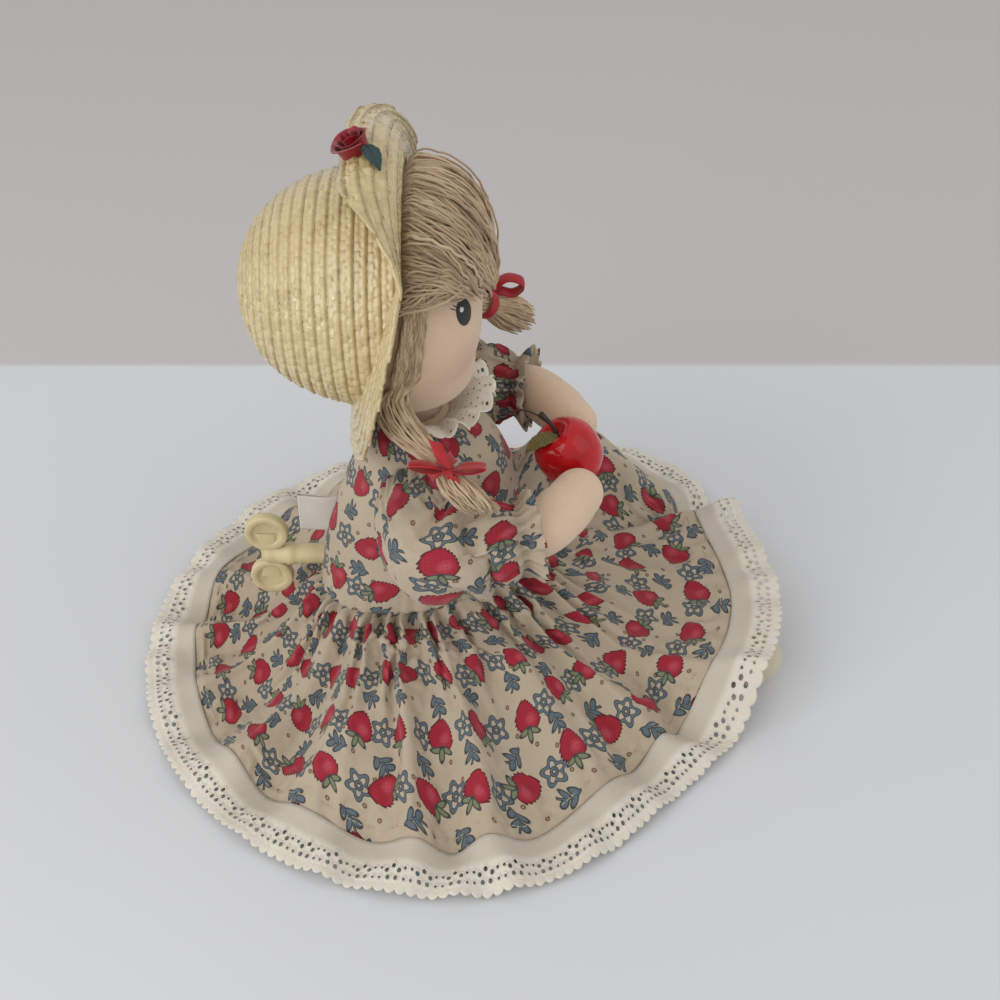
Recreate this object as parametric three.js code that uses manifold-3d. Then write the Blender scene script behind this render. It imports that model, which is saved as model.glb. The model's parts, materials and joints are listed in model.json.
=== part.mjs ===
// A seated cloth doll with a wind-up musical movement in its back.
// Millimetres, +Z up. The doll faces -Y, its right side is -X,
// and the origin lies on the table under the middle of its torso.
import * as THREE from "three";
import { mergeVertices } from "three/addons/utils/BufferGeometryUtils.js";
import Module from "manifold-3d";

const wasm = await Module();
wasm.setup();

// Fits
const SEAM_GAP = 0.35; // between pieces that lie against each other
const SHAFT_GAP = 0.2; // round a turning shaft
const CLOTH = 1.4; // dress cotton with its seam allowance
const LACE = 0.9;

// Torso: half widths and half depths at each height
const SEAT_HALF_WIDTH = 34;
const SEAT_HALF_DEPTH = 38;
const HIP_Z = 28;
const HIP_HALF_WIDTH = 41;
const HIP_HALF_DEPTH = 48;
const WAIST_Z = 57;
const WAIST_HALF_WIDTH = 36;
const WAIST_HALF_DEPTH = 45.5;
const CHEST_Z = 108;
const CHEST_HALF_WIDTH = 35;
const CHEST_HALF_DEPTH = 38;
const CHEST_Y = -5.5;
const SHOULDER_Z = 132;
const SHOULDER_HALF_WIDTH = 30.5;
const SHOULDER_HALF_DEPTH = 29;
const NECK_Z = 150;
const NECK_RADIUS = 15;
const NECK_Y = 1;

// Dress
const WAIST_SLOPE = 0.22; // the waist seam drops this much per mm towards the back
const WAIST_SEAM_Y = 9; // where the seam passes the height of the waist
const HEM_HALF_WIDTH = 134;
const HEM_HALF_DEPTH = 136;
const HEM_Y = -18.5;
const HEM_Z = 7;
const SKIRT_FULLNESS = 9; // rounds the skirt out at the sides and hollows it under the key
const KEY_HOLLOW_DEG = 35; // half width of that hollow, round the waist
const HEM_FLATTENING = 0.11; // the hem lies closer in beside the legs
const LACE_WIDTH = 25;
const LACE_EDGE_Z = 2.4;
const LACE_OVER_SHOES = 3; // clear height of the lace above the shoes
const FOLD_COUNT = 18;
const FOLD_AT_WAIST = 1.6;
const FOLD_AT_HEM = 4;
const SCALLOP_COUNT = 50;
const SCALLOP_DEPTH = 3;
const COLLAR_REACH = 21;
const COLLAR_RISE = 8;
const COLLAR_WAVE = 1.6;
const COLLAR_WAVE_COUNT = 11;
const TAG_REACH = 21; // beyond the chest's back
const TAG_HEIGHT = 20;
const TAG_THICKNESS = 0.8;
const TAG_Z = 87;

// Arms and sleeves
const SHOULDER_JOINT_Y = -2;
const SHOULDER_JOINT_Z = 124;
const ARMS_LOWER_DEG = 12;
const ARM_RADIUS = 12.5;
const ARM_REACH = 35; // from the middle of the chest to the sleeve seam
const ARM_ROOT = 12; // length of arm inside the seam
const ARM_BEND = 8; // from the seam to where the arm bends forward
const SLEEVE_ROOT = 8;
const SLEEVE_DROP = 4; // the puff hangs this far below the arm
const ELBOW_X = 58;
const ELBOW_Y = -20;
const ELBOW_Z = 119;
const WRIST_X = 55;
const WRIST_Y = -50;
const HAND_Z = 121;
const HAND_TURN = 14; // from the wrist in to the back of the hand
const HAND_BACK = 6; // the back of the hand lies this far behind the apple's middle
const GRIP = 11; // from the apple's side to the middle of the fingertips
const GRIP_AHEAD = 3;
const APPLE_RISE = 2.5; // of the apple's middle over the hands
const SLEEVE_ROOT_RADIUS = 17.5;
const SLEEVE_RADIUS = 23;
const CUFF_RADIUS = 15;
const FRILL_RADIUS = 18.5;
const FRILL_LENGTH = 8;
const FRILL_WAVES = 9;
const APPLE_RADIUS = 15.3;
const APPLE_Y = -70;
const APPLE_TILT_DEG = 32;
const STEM_RADIUS = 1.3;
const STEM_LENGTH = 15;
const STEM_WIRE_REACH = 17;
const APPLE_LEAF_LENGTH = 19;
const APPLE_LEAF_WIDTH = 10;

// Legs and shoes
const LEG_RADIUS = 15;
const HIP_JOINT_X = 21;
const HIP_JOINT_Y = -54;
const LEG_SWING_DEG = 4;
const RIGHT_ANKLE_X = -25;
const LEFT_ANKLE_X = 43;
const ANKLE_Y = -146;
const ANKLE_RADIUS = 13;
const SHOE_LENGTH = 24;
const SHOE_HALF_WIDTH = 14;
const SHOE_HEIGHT = 29;

// Head and hair
const HEAD_HALF_WIDTH = 44.5;
const HEAD_HALF_DEPTH = 42.5;
const HEAD_HEIGHT = 84;
const HEAD_NECK = 10; // the head's own neck, below its ball
const HEAD_Y = 12;
const HEAD_TURN_DEG = 10;
const HAIR_THICKNESS = 4;
const FRINGE_HALF_WIDTH = 47;
const FRINGE_HALF_DEPTH = 42;
const FRINGE_HALF_HEIGHT = 43;
const FRINGE_Y = 9;
const FRINGE_Z = 222;
const HAIRLINE_Y = 2.4;
const FACE_HALF_WIDTH = 36;
const FACE_TOP_Z = 221;
const FACE_DEPTH_Y = -1.5; // the cheeks are bare forward of this
const SIDE_HAIR_Z = 170;
const PIGTAIL_TIE_X = 62;
const PIGTAIL_TIE_Z = 165;
const RIGHT_TIE_Y = -14;
const LEFT_TIE_Y = -31; // the left bunch is swept further forward
const PIGTAIL_RADIUS = 9.5;
const PIGTAIL_ROOT_BACK = 22; // the bunch starts this far behind its tie
const PIGTAIL_ROOT_RISE = 20;
const PIGTAIL_SWELL_IN = 9; // and is fullest here, behind and above the tie
const PIGTAIL_SWELL_BACK = 14;
const PIGTAIL_SWELL_RISE = 8;
const TAIL_OUT = 6;
const TAIL_AHEAD = 8;
const TAIL_DROP = 8;
const TAIL_END_OUT = 10;
const TAIL_END_AHEAD = 15;
const TAIL_END_DROP = 16;
const TIE_RADIUS = 6;
const TAIL_RADIUS = 9.5;
const BOW_LOOP = 12;
const RIBBON_WIDTH = 6.35;
const LEAF_THICKNESS = 1.6;

// Bonnet: a straw dome lying on its side, with a brim rolled back over the forehead
const CROWN_RADIUS = 51.5;
const CROWN_DEPTH = 69;
const CROWN_Y = 2;
const CROWN_Z = 213;
const CROWN_ROUNDNESS = 2.3;
const CROWN_SPACING = 1.6; // crowds the drawn rows towards the brim
const STRAW = 1.5;
const ROOM_REACH = 6; // how far the head's room runs forward of the brim seam
const STRAW_ROW_STEP = 0.6;
const CROWN_ROWS = 7;
const CROWN_CUT = 21; // the crown is cut back this far behind the nape
const BRIM_SIDE = 22;
const BRIM_TOP = 44;
const BRIM_NAPE = 28;
const BRIM_STAND = 4; // straight stretch before the roll
const BRIM_ROLL_DEG = 190;
const BRIM_LEAN_DEG = 16; // forward, all round the face
const BRIM_NAPE_LEAN_DEG = 10; // backward, at the nape
const ROSE_RADIUS = 10;
const ROSE_HEIGHT = 8;
const ROSE_PLACE_DEG = 8; // from the top of the bonnet to the doll's right
const ROSE_PLACE_SHARE = 1.68;
const ROSE_LEAN_DEG = 25;
const ROSE_LEAF_LENGTH = 19;
const ROSE_LEAF_WIDTH = 9;

// Winding key, its axis along Y
const KEY_Z = 61;
const KEY_BARREL_RADIUS = 5;
const KEY_PLATE_Y = 75;
const KEY_LOBE_RADIUS = 10.5;
const KEY_LOBE_SPACING = 28;
const KEY_THICKNESS = 5;
const KEY_DISH_RADIUS = 7;
const KEY_DISH_DEPTH = 1.2;
const KEY_SOCKET_DEPTH = 12;

// Movement case
const CASE_HEIGHT = 48;
const CASE_DEPTH = 35;
const CASE_ROOM = 0.8; // beside the bedplate
const CASE_BACK_Y = 15;
const CASE_WALL = 1.6;
const CASE_CORNER = 6;
const CASE_FRONT_DEPTH = 17;
const BOSS_RADIUS = 2.6;
const SCREW_RADIUS = 1;
const SCREW_HEAD_RADIUS = 1.8;
const SCREW_HEAD_HEIGHT = 1.2;

// Movement
const BEDPLATE = 1.8;
const BEDPLATE_MARGIN = 7; // beyond the spring housing
const BEDPLATE_HEIGHT = 36;
const BEDPLATE_CORNER = 5;
const BEDPLATE_PAD = 1.5;
const BEDPLATE_PAD_RADIUS = 3;
const BEDPLATE_PAD_INSET = 0.5;
const POST = 1.4; // thickness of the bearing posts
const POST_WIDTH = 4.4;
const ARBOR_RADIUS = 2;
const HOUSING_RADIUS = 9.5;
const HOUSING_HEIGHT = 8;
const HOUSING_WALL = 0.8;
const SPRING_TURNS = 4;
const SPRING_STRIP = 0.5;
const DRIVE_TEETH = 36;
const DRIVE_MODULE = 0.5;
const DRIVE_TOOTH_WIDTH = 2.4;
const DRIVE_DISC = 1.8;
const DISC_RIM = 0.3; // of the disc beyond its teeth
const CYLINDER_PINION_TEETH = 12;
const CYLINDER_RADIUS = 5.7;
const PIN_HEIGHT = 0.45;
const NOTE_COUNT = 18;
const NOTE_PITCH = 0.6;
const PINS_PER_NOTE = 2;
const AXLE_RADIUS = 1;
const WHEEL_TEETH = 24;
const WHEEL_MODULE = 0.6;
const WHEEL_WIDTH = 1.2;
const TRAIN_PINION_TEETH = 8;
const WORM_WHEEL_TEETH = 16;
const WORM_MODULE = 0.35;
const WORM_ROOT = 1;
const WORM_DEPTH = 0.6;
const WORM_LEADS = 3;
const FAN_RADIUS = 5;
const FAN_HEIGHT = 3;
const FAN_BLADE = 0.6;
const COMB_THICKNESS = 1;
const COMB_TOOTH_LENGTH = 6;
const COMB_BASE = 4.5;
const COMB_SLOT = 0.24;
const COMB_TAPER = 0.12; // each tooth is this much shorter than the last
const PIN_CLEARANCE = 0.25;

// Mesh fineness
const FACETS = 18;
const LIMB_FACETS = 12;
const ROUND = 18; // sides of small turned pieces

const rad = THREE.MathUtils.degToRad;
const smooth = THREE.MathUtils.smoothstep;
const lerp = THREE.MathUtils.lerp;
const vec = (x, y, z) => new THREE.Vector3(x, y, z);
const X_AXIS = vec(1, 0, 0);
const Z_AXIS = vec(0, 0, 1);

// Mesh and solid helpers

/** A mesh of points and triangle corners, turned so that its faces point out. */
function meshOf(points, faces) {
  let volume = 0;
  for (let i = 0; i < faces.length; i += 3) {
    const cross = points[faces[i + 1]].clone().cross(points[faces[i + 2]]);
    volume += points[faces[i]].dot(cross);
  }
  const corners = volume < 0 ? faces.slice().reverse() : faces;
  const geometry = new THREE.BufferGeometry();
  geometry.setFromPoints(points);
  geometry.setIndex(corners);
  return geometry;
}

/** Joins two rings of equal length with a band of triangles. */
function band(faces, first, second, count) {
  for (let j = 0; j < count; j++) {
    const k = (j + 1) % count;
    faces.push(first + j, first + k, second + k);
    faces.push(first + j, second + k, second + j);
  }
}

/** A closed skin through a row of rings; each end closes on a pole. */
function loft(rings, startPole = middle(rings[0]), endPole = middle(rings.at(-1))) {
  const count = rings[0].length;
  const points = rings.flat();
  const faces = [];
  for (let i = 0; i + 1 < rings.length; i++) {
    band(faces, i * count, (i + 1) * count, count);
  }
  const lastRing = (rings.length - 1) * count;
  points.push(startPole, endPole);
  for (let j = 0; j < count; j++) {
    const k = (j + 1) % count;
    faces.push(k, j, points.length - 2);
    faces.push(lastRing + j, lastRing + k, points.length - 1);
  }
  return meshOf(points, faces);
}

/** A closed skin through rings whose last joins the first, as on a collar or a skirt. */
function hoop(rings) {
  const count = rings[0].length;
  const faces = [];
  rings.forEach((_, i) => band(faces, i * count, ((i + 1) % rings.length) * count, count));
  return meshOf(rings.flat(), faces);
}

function middle(ring) {
  const sum = ring.reduce((total, point) => total.add(point), vec(0, 0, 0));
  return sum.divideScalar(ring.length);
}

function solid(geometry) {
  const bare = geometry.clone();
  bare.deleteAttribute("normal");
  bare.deleteAttribute("uv");
  const merged = mergeVertices(bare, 1e-5);
  const vertProperties = new Float32Array(merged.attributes.position.array);
  const triVerts = new Uint32Array(merged.index.array);
  return new wasm.Manifold(new wasm.Mesh({ numProp: 3, vertProperties, triVerts }));
}

function geometryOf(manifold) {
  const { vertProperties, triVerts, numProp } = manifold.getMesh();
  const geometry = new THREE.BufferGeometry();
  const data = new THREE.InterleavedBuffer(new Float32Array(vertProperties), numProp);
  geometry.setAttribute("position", new THREE.InterleavedBufferAttribute(data, 3, 0));
  geometry.setIndex(Array.from(triVerts));
  return geometry.toNonIndexed();
}

/** The largest body of a trimmed solid; scraps left outside a trim fall away. */
function mainBody(manifold) {
  const bodies = manifold.decompose();
  return bodies.reduce((best, body) => (body.volume() > best.volume() ? body : best));
}

const joined = (solids) => solids.reduce((sum, piece) => sum.add(piece));
const mirrored = (points) => points.map((point) => vec(-point.x, point.y, point.z));

/** Values between stations, by a smooth cubic through each station's neighbours. */
function between(stations, u) {
  const last = stations.length - 1;
  const i = Math.min(Math.floor(u), last - 1);
  const f = u - i;
  const at = (k) => stations[THREE.MathUtils.clamp(k, 0, last)];
  return at(i).map((here, c) => {
    const [before, next, after] = [at(i - 1)[c], at(i + 1)[c], at(i + 2)[c]];
    const bend = 2 * before - 5 * here + 4 * next - after;
    const twist = 3 * here - before - 3 * next + after;
    return here + 0.5 * f * (next - before + f * (bend + f * twist));
  });
}

function ovalRing(x, y, z, halfWidth, halfDepth, facets = FACETS) {
  return Array.from({ length: facets }, (_, j) => {
    const a = (2 * Math.PI * j) / facets;
    return vec(x + halfWidth * Math.sin(a), y + halfDepth * Math.cos(a), z);
  });
}

/** A stuffed upright form through stations of [height, half width, half depth, middle Y]. */
function uprightForm(stations, grow = 0) {
  const last = stations.length - 1;
  const steps = Math.round(1.4 * last);
  const rings = Array.from({ length: steps + 1 }, (_, s) => {
    const [z, halfWidth, halfDepth, y] = between(stations, (s * last) / steps);
    const endGrow = s === 0 ? -grow : s === steps ? grow : 0;
    return ovalRing(0, y, z + endGrow, halfWidth + grow, halfDepth + grow);
  });
  return solid(loft(rings));
}

/** An egg shape with its own three half sizes. */
function eggForm(centre, halfWidth, halfDepth, halfHeight, facets = FACETS) {
  const geometry = new THREE.SphereGeometry(1, facets, Math.round(facets / 2));
  geometry.rotateX(Math.PI / 2);
  geometry.scale(halfWidth, halfDepth, halfHeight);
  geometry.translate(centre.x, centre.y, centre.z);
  return solid(geometry);
}

/** A stuffed limb along a path, with a radius at each point and round ends. */
function limbForm(path, radii, grow = 0, facets = LIMB_FACETS, flatStart = false) {
  const curve = new THREE.CatmullRomCurve3(path, false, "catmullrom", 0.5);
  const steps = 2 * (path.length - 1);
  const capAngles = [60, 30].map(rad);
  const rings = [];
  let normal = vec(0, 0, 1);
  const ringAt = (centre, tangent, radius) => {
    const across = tangent.clone().cross(normal).normalize();
    normal = across.clone().cross(tangent).normalize();
    return Array.from({ length: facets }, (_, j) => {
      const a = (2 * Math.PI * j) / facets;
      const out = normal.clone().multiplyScalar(Math.cos(a)).addScaledVector(across, Math.sin(a));
      return centre.clone().addScaledVector(out, radius);
    });
  };
  const radiusAt = (t) => between(radii.map((r) => [r]), t * (radii.length - 1))[0] + grow;
  const startTangent = curve.getTangent(0);
  const endTangent = curve.getTangent(1);
  if (!flatStart) {
    for (const a of capAngles) {
      const centre = path[0].clone().addScaledVector(startTangent, -radiusAt(0) * Math.sin(a));
      rings.push(ringAt(centre, startTangent, radiusAt(0) * Math.cos(a)));
    }
  }
  for (let s = 0; s <= steps; s++) {
    const t = s / steps;
    rings.push(ringAt(curve.getPoint(t), curve.getTangent(t), radiusAt(t)));
  }
  for (const a of capAngles.slice().reverse()) {
    const centre = path.at(-1).clone().addScaledVector(endTangent, radiusAt(1) * Math.sin(a));
    rings.push(ringAt(centre, endTangent, radiusAt(1) * Math.cos(a)));
  }
  const startReach = flatStart ? grow : radiusAt(0);
  const startPole = path[0].clone().addScaledVector(startTangent, -startReach);
  const endPole = path.at(-1).clone().addScaledVector(endTangent, radiusAt(1));
  return solid(loft(rings, startPole, endPole));
}

/** A shape drawn in X and Z, made solid between two values of Y. */
function plateY(shape, fromY, toY) {
  const options = { depth: toY - fromY, bevelEnabled: false, curveSegments: 4 };
  const geometry = new THREE.ExtrudeGeometry(shape, options);
  geometry.rotateX(Math.PI / 2);
  geometry.translate(0, toY, 0);
  return solid(geometry);
}

function rodY(x, z, radius, fromY, toY, sides = ROUND) {
  const geometry = new THREE.CylinderGeometry(radius, radius, toY - fromY, sides);
  geometry.translate(x, (fromY + toY) / 2, z);
  return solid(geometry);
}

function rodX(y, z, radius, fromX, toX, sides = ROUND) {
  const geometry = new THREE.CylinderGeometry(radius, radius, toX - fromX, sides);
  geometry.rotateZ(Math.PI / 2);
  geometry.translate((fromX + toX) / 2, y, z);
  return solid(geometry);
}

function block(fromX, toX, fromY, toY, fromZ, toZ) {
  const geometry = new THREE.BoxGeometry(toX - fromX, toY - fromY, toZ - fromZ);
  geometry.translate((fromX + toX) / 2, (fromY + toY) / 2, (fromZ + toZ) / 2);
  return solid(geometry);
}

function roundedRectangle(width, height, corner) {
  const [w, h] = [width / 2, height / 2];
  const shape = new THREE.Shape();
  shape.moveTo(-w + corner, -h);
  shape.lineTo(w - corner, -h);
  shape.absarc(w - corner, -h + corner, corner, -Math.PI / 2, 0);
  shape.lineTo(w, h - corner);
  shape.absarc(w - corner, h - corner, corner, 0, Math.PI / 2);
  shape.lineTo(-w + corner, h);
  shape.absarc(-w + corner, h - corner, corner, Math.PI / 2, Math.PI);
  shape.lineTo(-w, -h + corner);
  shape.absarc(-w + corner, -h + corner, corner, Math.PI, 1.5 * Math.PI);
  return shape;
}

/** A leaf outline from its stalk at the origin to its tip along +X. */
function leafShape(length, width) {
  const shape = new THREE.Shape();
  shape.moveTo(0, 0);
  shape.quadraticCurveTo(0.45 * length, width, length, 0);
  shape.quadraticCurveTo(0.45 * length, -width, 0, 0);
  return shape;
}

/** The same solid turned about an axis through a point. */
function turned(manifold, axis, point, degrees) {
  const move = new THREE.Matrix4().makeTranslation(point.x, point.y, point.z);
  const turn = new THREE.Matrix4().makeRotationAxis(axis, rad(degrees));
  const back = new THREE.Matrix4().makeTranslation(-point.x, -point.y, -point.z);
  return manifold.transform(move.multiply(turn).multiply(back).elements);
}

/** Everything that a neighbour covers, as seen from a piece that swings past it. */
function swept(manifold, axis, point, fromDeg, toDeg) {
  const angles = [fromDeg, toDeg];
  return joined(angles.map((angle) => turned(manifold, axis, point, -angle)));
}

// Finishes
const finish = (color, roughness, metalness = 0) => ({ color, roughness, metalness });
const SKIN = finish(0xc8af94, 0.9);
const PRINT = finish(0xb0a08a, 0.9);
const LACE_CREAM = finish(0xcbc3b2, 0.9);
const YARN = finish(0xaa9173, 0.95);
const STRAW_PALE = finish(0xd2c69e, 0.5);
const RED_SATIN = finish(0xbe0a19, 0.4);
const ROSE_RED = finish(0x96102a, 0.6);
const DARK_LEAF = finish(0x2d504b, 0.7);
const APPLE_RED = finish(0xbe0014, 0.15);
const OLIVE_LEAF = finish(0x7d7832, 0.6);
const STEM_BROWN = finish(0x322323, 0.6);
const SHOE_CREAM = finish(0xd8cdb6, 0.9);
const TAG_WHITE = finish(0xbeb6ac, 0.8);
const KEY_CREAM = finish(0xc3b487, 0.45);
const CASE_IVORY = finish(0xd9d4c4, 0.5);
const STEEL = finish(0xa8a8a4, 0.35, 1);
const BRASS = finish(0xb08d4a, 0.35, 1);
const ZINC = finish(0x9a9a98, 0.5, 1);
const NYLON = finish(0xe6e2d8, 0.5);

const doll = new THREE.Group();

function add(name, piece, look) {
  const geometry = piece.isBufferGeometry ? piece : geometryOf(piece);
  const mesh = new THREE.Mesh(geometry, new THREE.MeshStandardMaterial(look));
  mesh.name = name;
  doll.add(mesh);
}

// Torso and dress bodice

const TORSO_STATIONS = [
  [0, SEAT_HALF_WIDTH, SEAT_HALF_DEPTH, 0],
  [HIP_Z * 0.22, lerp(SEAT_HALF_WIDTH, HIP_HALF_WIDTH, 0.8), lerp(SEAT_HALF_DEPTH, HIP_HALF_DEPTH, 0.8), 0],
  [HIP_Z, HIP_HALF_WIDTH, HIP_HALF_DEPTH, 0],
  [WAIST_Z, WAIST_HALF_WIDTH, WAIST_HALF_DEPTH, 0],
  [
    (WAIST_Z + CHEST_Z) / 2, (WAIST_HALF_WIDTH + CHEST_HALF_WIDTH) / 2,
    WAIST_HALF_DEPTH - 1.5, CHEST_Y / 2,
  ],
  [CHEST_Z, CHEST_HALF_WIDTH, CHEST_HALF_DEPTH, CHEST_Y],
  [SHOULDER_Z, SHOULDER_HALF_WIDTH, SHOULDER_HALF_DEPTH, CHEST_Y],
  [lerp(SHOULDER_Z, NECK_Z, 0.8), lerp(SHOULDER_HALF_WIDTH, NECK_RADIUS, 0.7),
    lerp(SHOULDER_HALF_DEPTH, NECK_RADIUS, 0.7), lerp(CHEST_Y, NECK_Y, 0.7)],
  [NECK_Z, NECK_RADIUS, NECK_RADIUS, NECK_Y],
];
const torsoForm = (grow) => uprightForm(TORSO_STATIONS, grow);
const BODICE_OUT = SEAM_GAP + CLOTH;
const waistSeamZ = (y) => WAIST_Z - WAIST_SLOPE * (y - WAIST_SEAM_Y);

// Layout of the movement across the doll, which sets the width of its bedplate and case
const driveRadius = (DRIVE_TEETH * DRIVE_MODULE) / 2;
const pinionFromX = driveRadius - DRIVE_TOOTH_WIDTH / 2;
const pinionToX = driveRadius + DRIVE_TOOTH_WIDTH / 2;
const discRadius = pinionToX + DISC_RIM;
const leftPostX = discRadius + SEAM_GAP;
const wheelX = leftPostX + POST + SEAM_GAP;
const cylinderFromX = wheelX + WHEEL_WIDTH + SEAM_GAP;
const cylinderToX = cylinderFromX + NOTE_COUNT * NOTE_PITCH;
const rightPostX = cylinderToX + SEAM_GAP;
const bedFromX = -HOUSING_RADIUS - BEDPLATE_MARGIN;
const bedToX = rightPostX + POST;
const bedWidth = bedToX - bedFromX;
const bedX = (bedFromX + bedToX) / 2;
const caseWidth = bedWidth + 2 * (CASE_WALL + CASE_ROOM);

const caseFrontY = CASE_BACK_Y - CASE_DEPTH;
const caseShape = (grow) =>
  roundedRectangle(caseWidth + 2 * grow, CASE_HEIGHT + 2 * grow, CASE_CORNER + grow);
const caseBlock = (grow, fromY, toY) => plateY(caseShape(grow), fromY, toY).translate(bedX, 0, KEY_Z);
const farBackY = HIP_HALF_DEPTH + CASE_DEPTH;
const keyTunnel = rodY(0, KEY_Z, KEY_BARREL_RADIUS + SEAM_GAP, CASE_BACK_Y, farBackY);
const movementPocket = caseBlock(SEAM_GAP, caseFrontY - SEAM_GAP, CASE_BACK_Y + SEAM_GAP);
add("torso", torsoForm(0).subtract(movementPocket).subtract(keyTunnel), SKIN);

/** The half space above the sloping waist seam, as a solid to trim with. */
function aboveWaistSeam(lift) {
  const reach = 2 * HEM_HALF_DEPTH;
  const slab = block(-reach, reach, -reach, reach, 0, reach);
  const tilted = turned(slab, X_AXIS, vec(0, 0, 0), -Math.atan(WAIST_SLOPE) * THREE.MathUtils.RAD2DEG);
  return tilted.translate(0, WAIST_SEAM_Y, WAIST_Z + lift);
}

const neckline = block(-NECK_Z, NECK_Z, -NECK_Z, NECK_Z, 0, NECK_Z - CLOTH);
const armholeRadius = ARM_RADIUS + SEAM_GAP;
const armhole = rodX(SHOULDER_JOINT_Y, SHOULDER_JOINT_Z, armholeRadius, -2 * ARM_REACH, 2 * ARM_REACH, 12);
const bodiceForm = torsoForm(BODICE_OUT);
const bodice = bodiceForm
  .subtract(torsoForm(SEAM_GAP))
  .intersect(aboveWaistSeam(0))
  .intersect(neckline)
  .subtract(armhole)
  .subtract(keyTunnel);
add("dress_bodice", mainBody(bodice), PRINT);

const tagEndY = CHEST_HALF_DEPTH + TAG_REACH;
const tagBlock = block(
  -TAG_THICKNESS / 2, TAG_THICKNESS / 2, 0, tagEndY, TAG_Z - TAG_HEIGHT / 2, TAG_Z + TAG_HEIGHT / 2,
);
add("sewn_tag", mainBody(tagBlock.subtract(torsoForm(BODICE_OUT + SEAM_GAP))), TAG_WHITE);

// Skirt and hem lace: one draped sheet, cut at the hem

/** How far round the drape a direction lies from straight ahead, from 0 to pi. */
const fromFront = (a) => Math.abs(Math.PI - (a % (2 * Math.PI)));
const BESIDE_LEGS = rad(45);
const hemScale = (a) => 1 - HEM_FLATTENING * Math.exp(-(((fromFront(a) - BESIDE_LEGS) / rad(25)) ** 2));

/** Height of the cloth where it lies over the legs and shoes, and zero well beside them. */
function overLegs(x, y) {
  const share = (y - HIP_JOINT_Y) / (ANKLE_Y - HIP_JOINT_Y);
  const rightX = lerp(-HIP_JOINT_X, RIGHT_ANKLE_X, share);
  const leftX = lerp(HIP_JOINT_X, LEFT_ANKLE_X, share);
  const beside = Math.max(0, rightX - x, x - leftX);
  const swing = SHOE_HALF_WIDTH + Math.tan(rad(LEG_SWING_DEG)) * (HIP_JOINT_Y - y);
  const cover = 1 - smooth(beside, swing, swing + SHOE_HEIGHT);
  return y < 0 ? (SHOE_HEIGHT + LACE_OVER_SHOES + CLOTH) * cover : 0;
}

/** A point of the drape: s runs from the waist (0) to the hem (1) and over the lace (2). */
function drapePoint(a, s) {
  const [sin, cos] = [Math.sin(a), Math.cos(a)];
  const waist = vec((WAIST_HALF_WIDTH + BODICE_OUT) * sin, (WAIST_HALF_DEPTH + BODICE_OUT) * cos, 0);
  waist.z = waistSeamZ(waist.y) - SEAM_GAP;
  const scale = hemScale(a);
  const hem = vec(HEM_HALF_WIDTH * scale * sin, HEM_Y + HEM_HALF_DEPTH * scale * cos, HEM_Z);
  const fold = Math.cos(FOLD_COUNT * a);
  const across = Math.max(0, s - 1);
  const scallop = SCALLOP_DEPTH * (1 - Math.abs(Math.sin((SCALLOP_COUNT * a) / 2)));
  const reach = (LACE_WIDTH - scallop) * across;
  const point = s <= 1 ? waist.lerp(hem, s) : hem.add(vec(sin * reach, cos * reach, 0));
  const down = Math.min(s, 1);
  const beside = lerp(-1, 1, smooth(Math.PI - fromFront(a), rad(KEY_HOLLOW_DEG), rad(2 * KEY_HOLLOW_DEG)));
  const bulge = SKIRT_FULLNESS * beside * Math.sin(Math.PI * down);
  const lift = overLegs(point.x, point.y);
  const free = 1 - Math.min(1, lift / SHOE_HEIGHT);
  point.z = lerp(point.z, LACE_EDGE_Z, across) + bulge * free;
  point.z += free * fold * lerp(FOLD_AT_HEM * down, 0, across);
  point.z = Math.max(point.z, lift);
  const out = FOLD_AT_WAIST * fold * Math.sin(Math.PI * Math.min(1, 2 * down));
  return point.add(vec(sin * out, cos * out, 0));
}

/** A sheet over a stretch of the drape, with its thickness below the drape. */
function drapeSheet(stops, around, thickness) {
  const ring = (s, drop) =>
    Array.from({ length: around }, (_, j) => drapePoint((2 * Math.PI * j) / around, s).add(vec(0, 0, -drop)));
  const top = stops.map((s) => ring(s, 0));
  const underside = stops.map((s) => ring(s, thickness)).reverse();
  return hoop([...top, ...underside]);
}

const hemGap = SEAM_GAP / LACE_WIDTH;
add("dress_skirt", drapeSheet([0, 0.12, 0.35, 0.65, 1], FOLD_COUNT * 4, CLOTH), PRINT);
add("hem_lace", drapeSheet([1 + hemGap, 1.5, 2], SCALLOP_COUNT * 2, LACE), LACE_CREAM);

// Head, hair and bonnet

const headBottom = NECK_Z + SEAM_GAP;
const ballBottom = headBottom + HEAD_NECK;
const HEAD_FULLNESS = 2.35;
const neckSeat = NECK_RADIUS - 2;
const headStation = (share) => {
  const height = 2 * share - 1;
  const width = (1 - Math.abs(height) ** HEAD_FULLNESS) ** (1 / HEAD_FULLNESS);
  const least = share < 0.5 ? neckSeat : 2;
  const halfWidth = Math.max(HEAD_HALF_WIDTH * width, least);
  const halfDepth = Math.max(HEAD_HALF_DEPTH * width, least);
  const y = lerp(NECK_Y, HEAD_Y, smooth(share, 0, 0.3));
  return [ballBottom + HEAD_HEIGHT * share, halfWidth, halfDepth, y];
};
const HEAD_STATIONS = [
  [headBottom, neckSeat, neckSeat, NECK_Y],
  [ballBottom, neckSeat, neckSeat, NECK_Y],
  ...[0.03, 0.1, 0.25, 0.5, 0.75, 0.9, 0.97, 1].map(headStation),
];
const headForm = (grow) => uprightForm(HEAD_STATIONS, grow);

/** Radius and depth of the crown, from its back pole (0) to the brim (1). */
function crownProfile(share) {
  const depth = CROWN_DEPTH * (1 - share) ** CROWN_SPACING;
  const radius = CROWN_RADIUS * (1 - (depth / CROWN_DEPTH) ** CROWN_ROUNDNESS) ** (1 / CROWN_ROUNDNESS);
  return [radius, depth];
}

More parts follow.
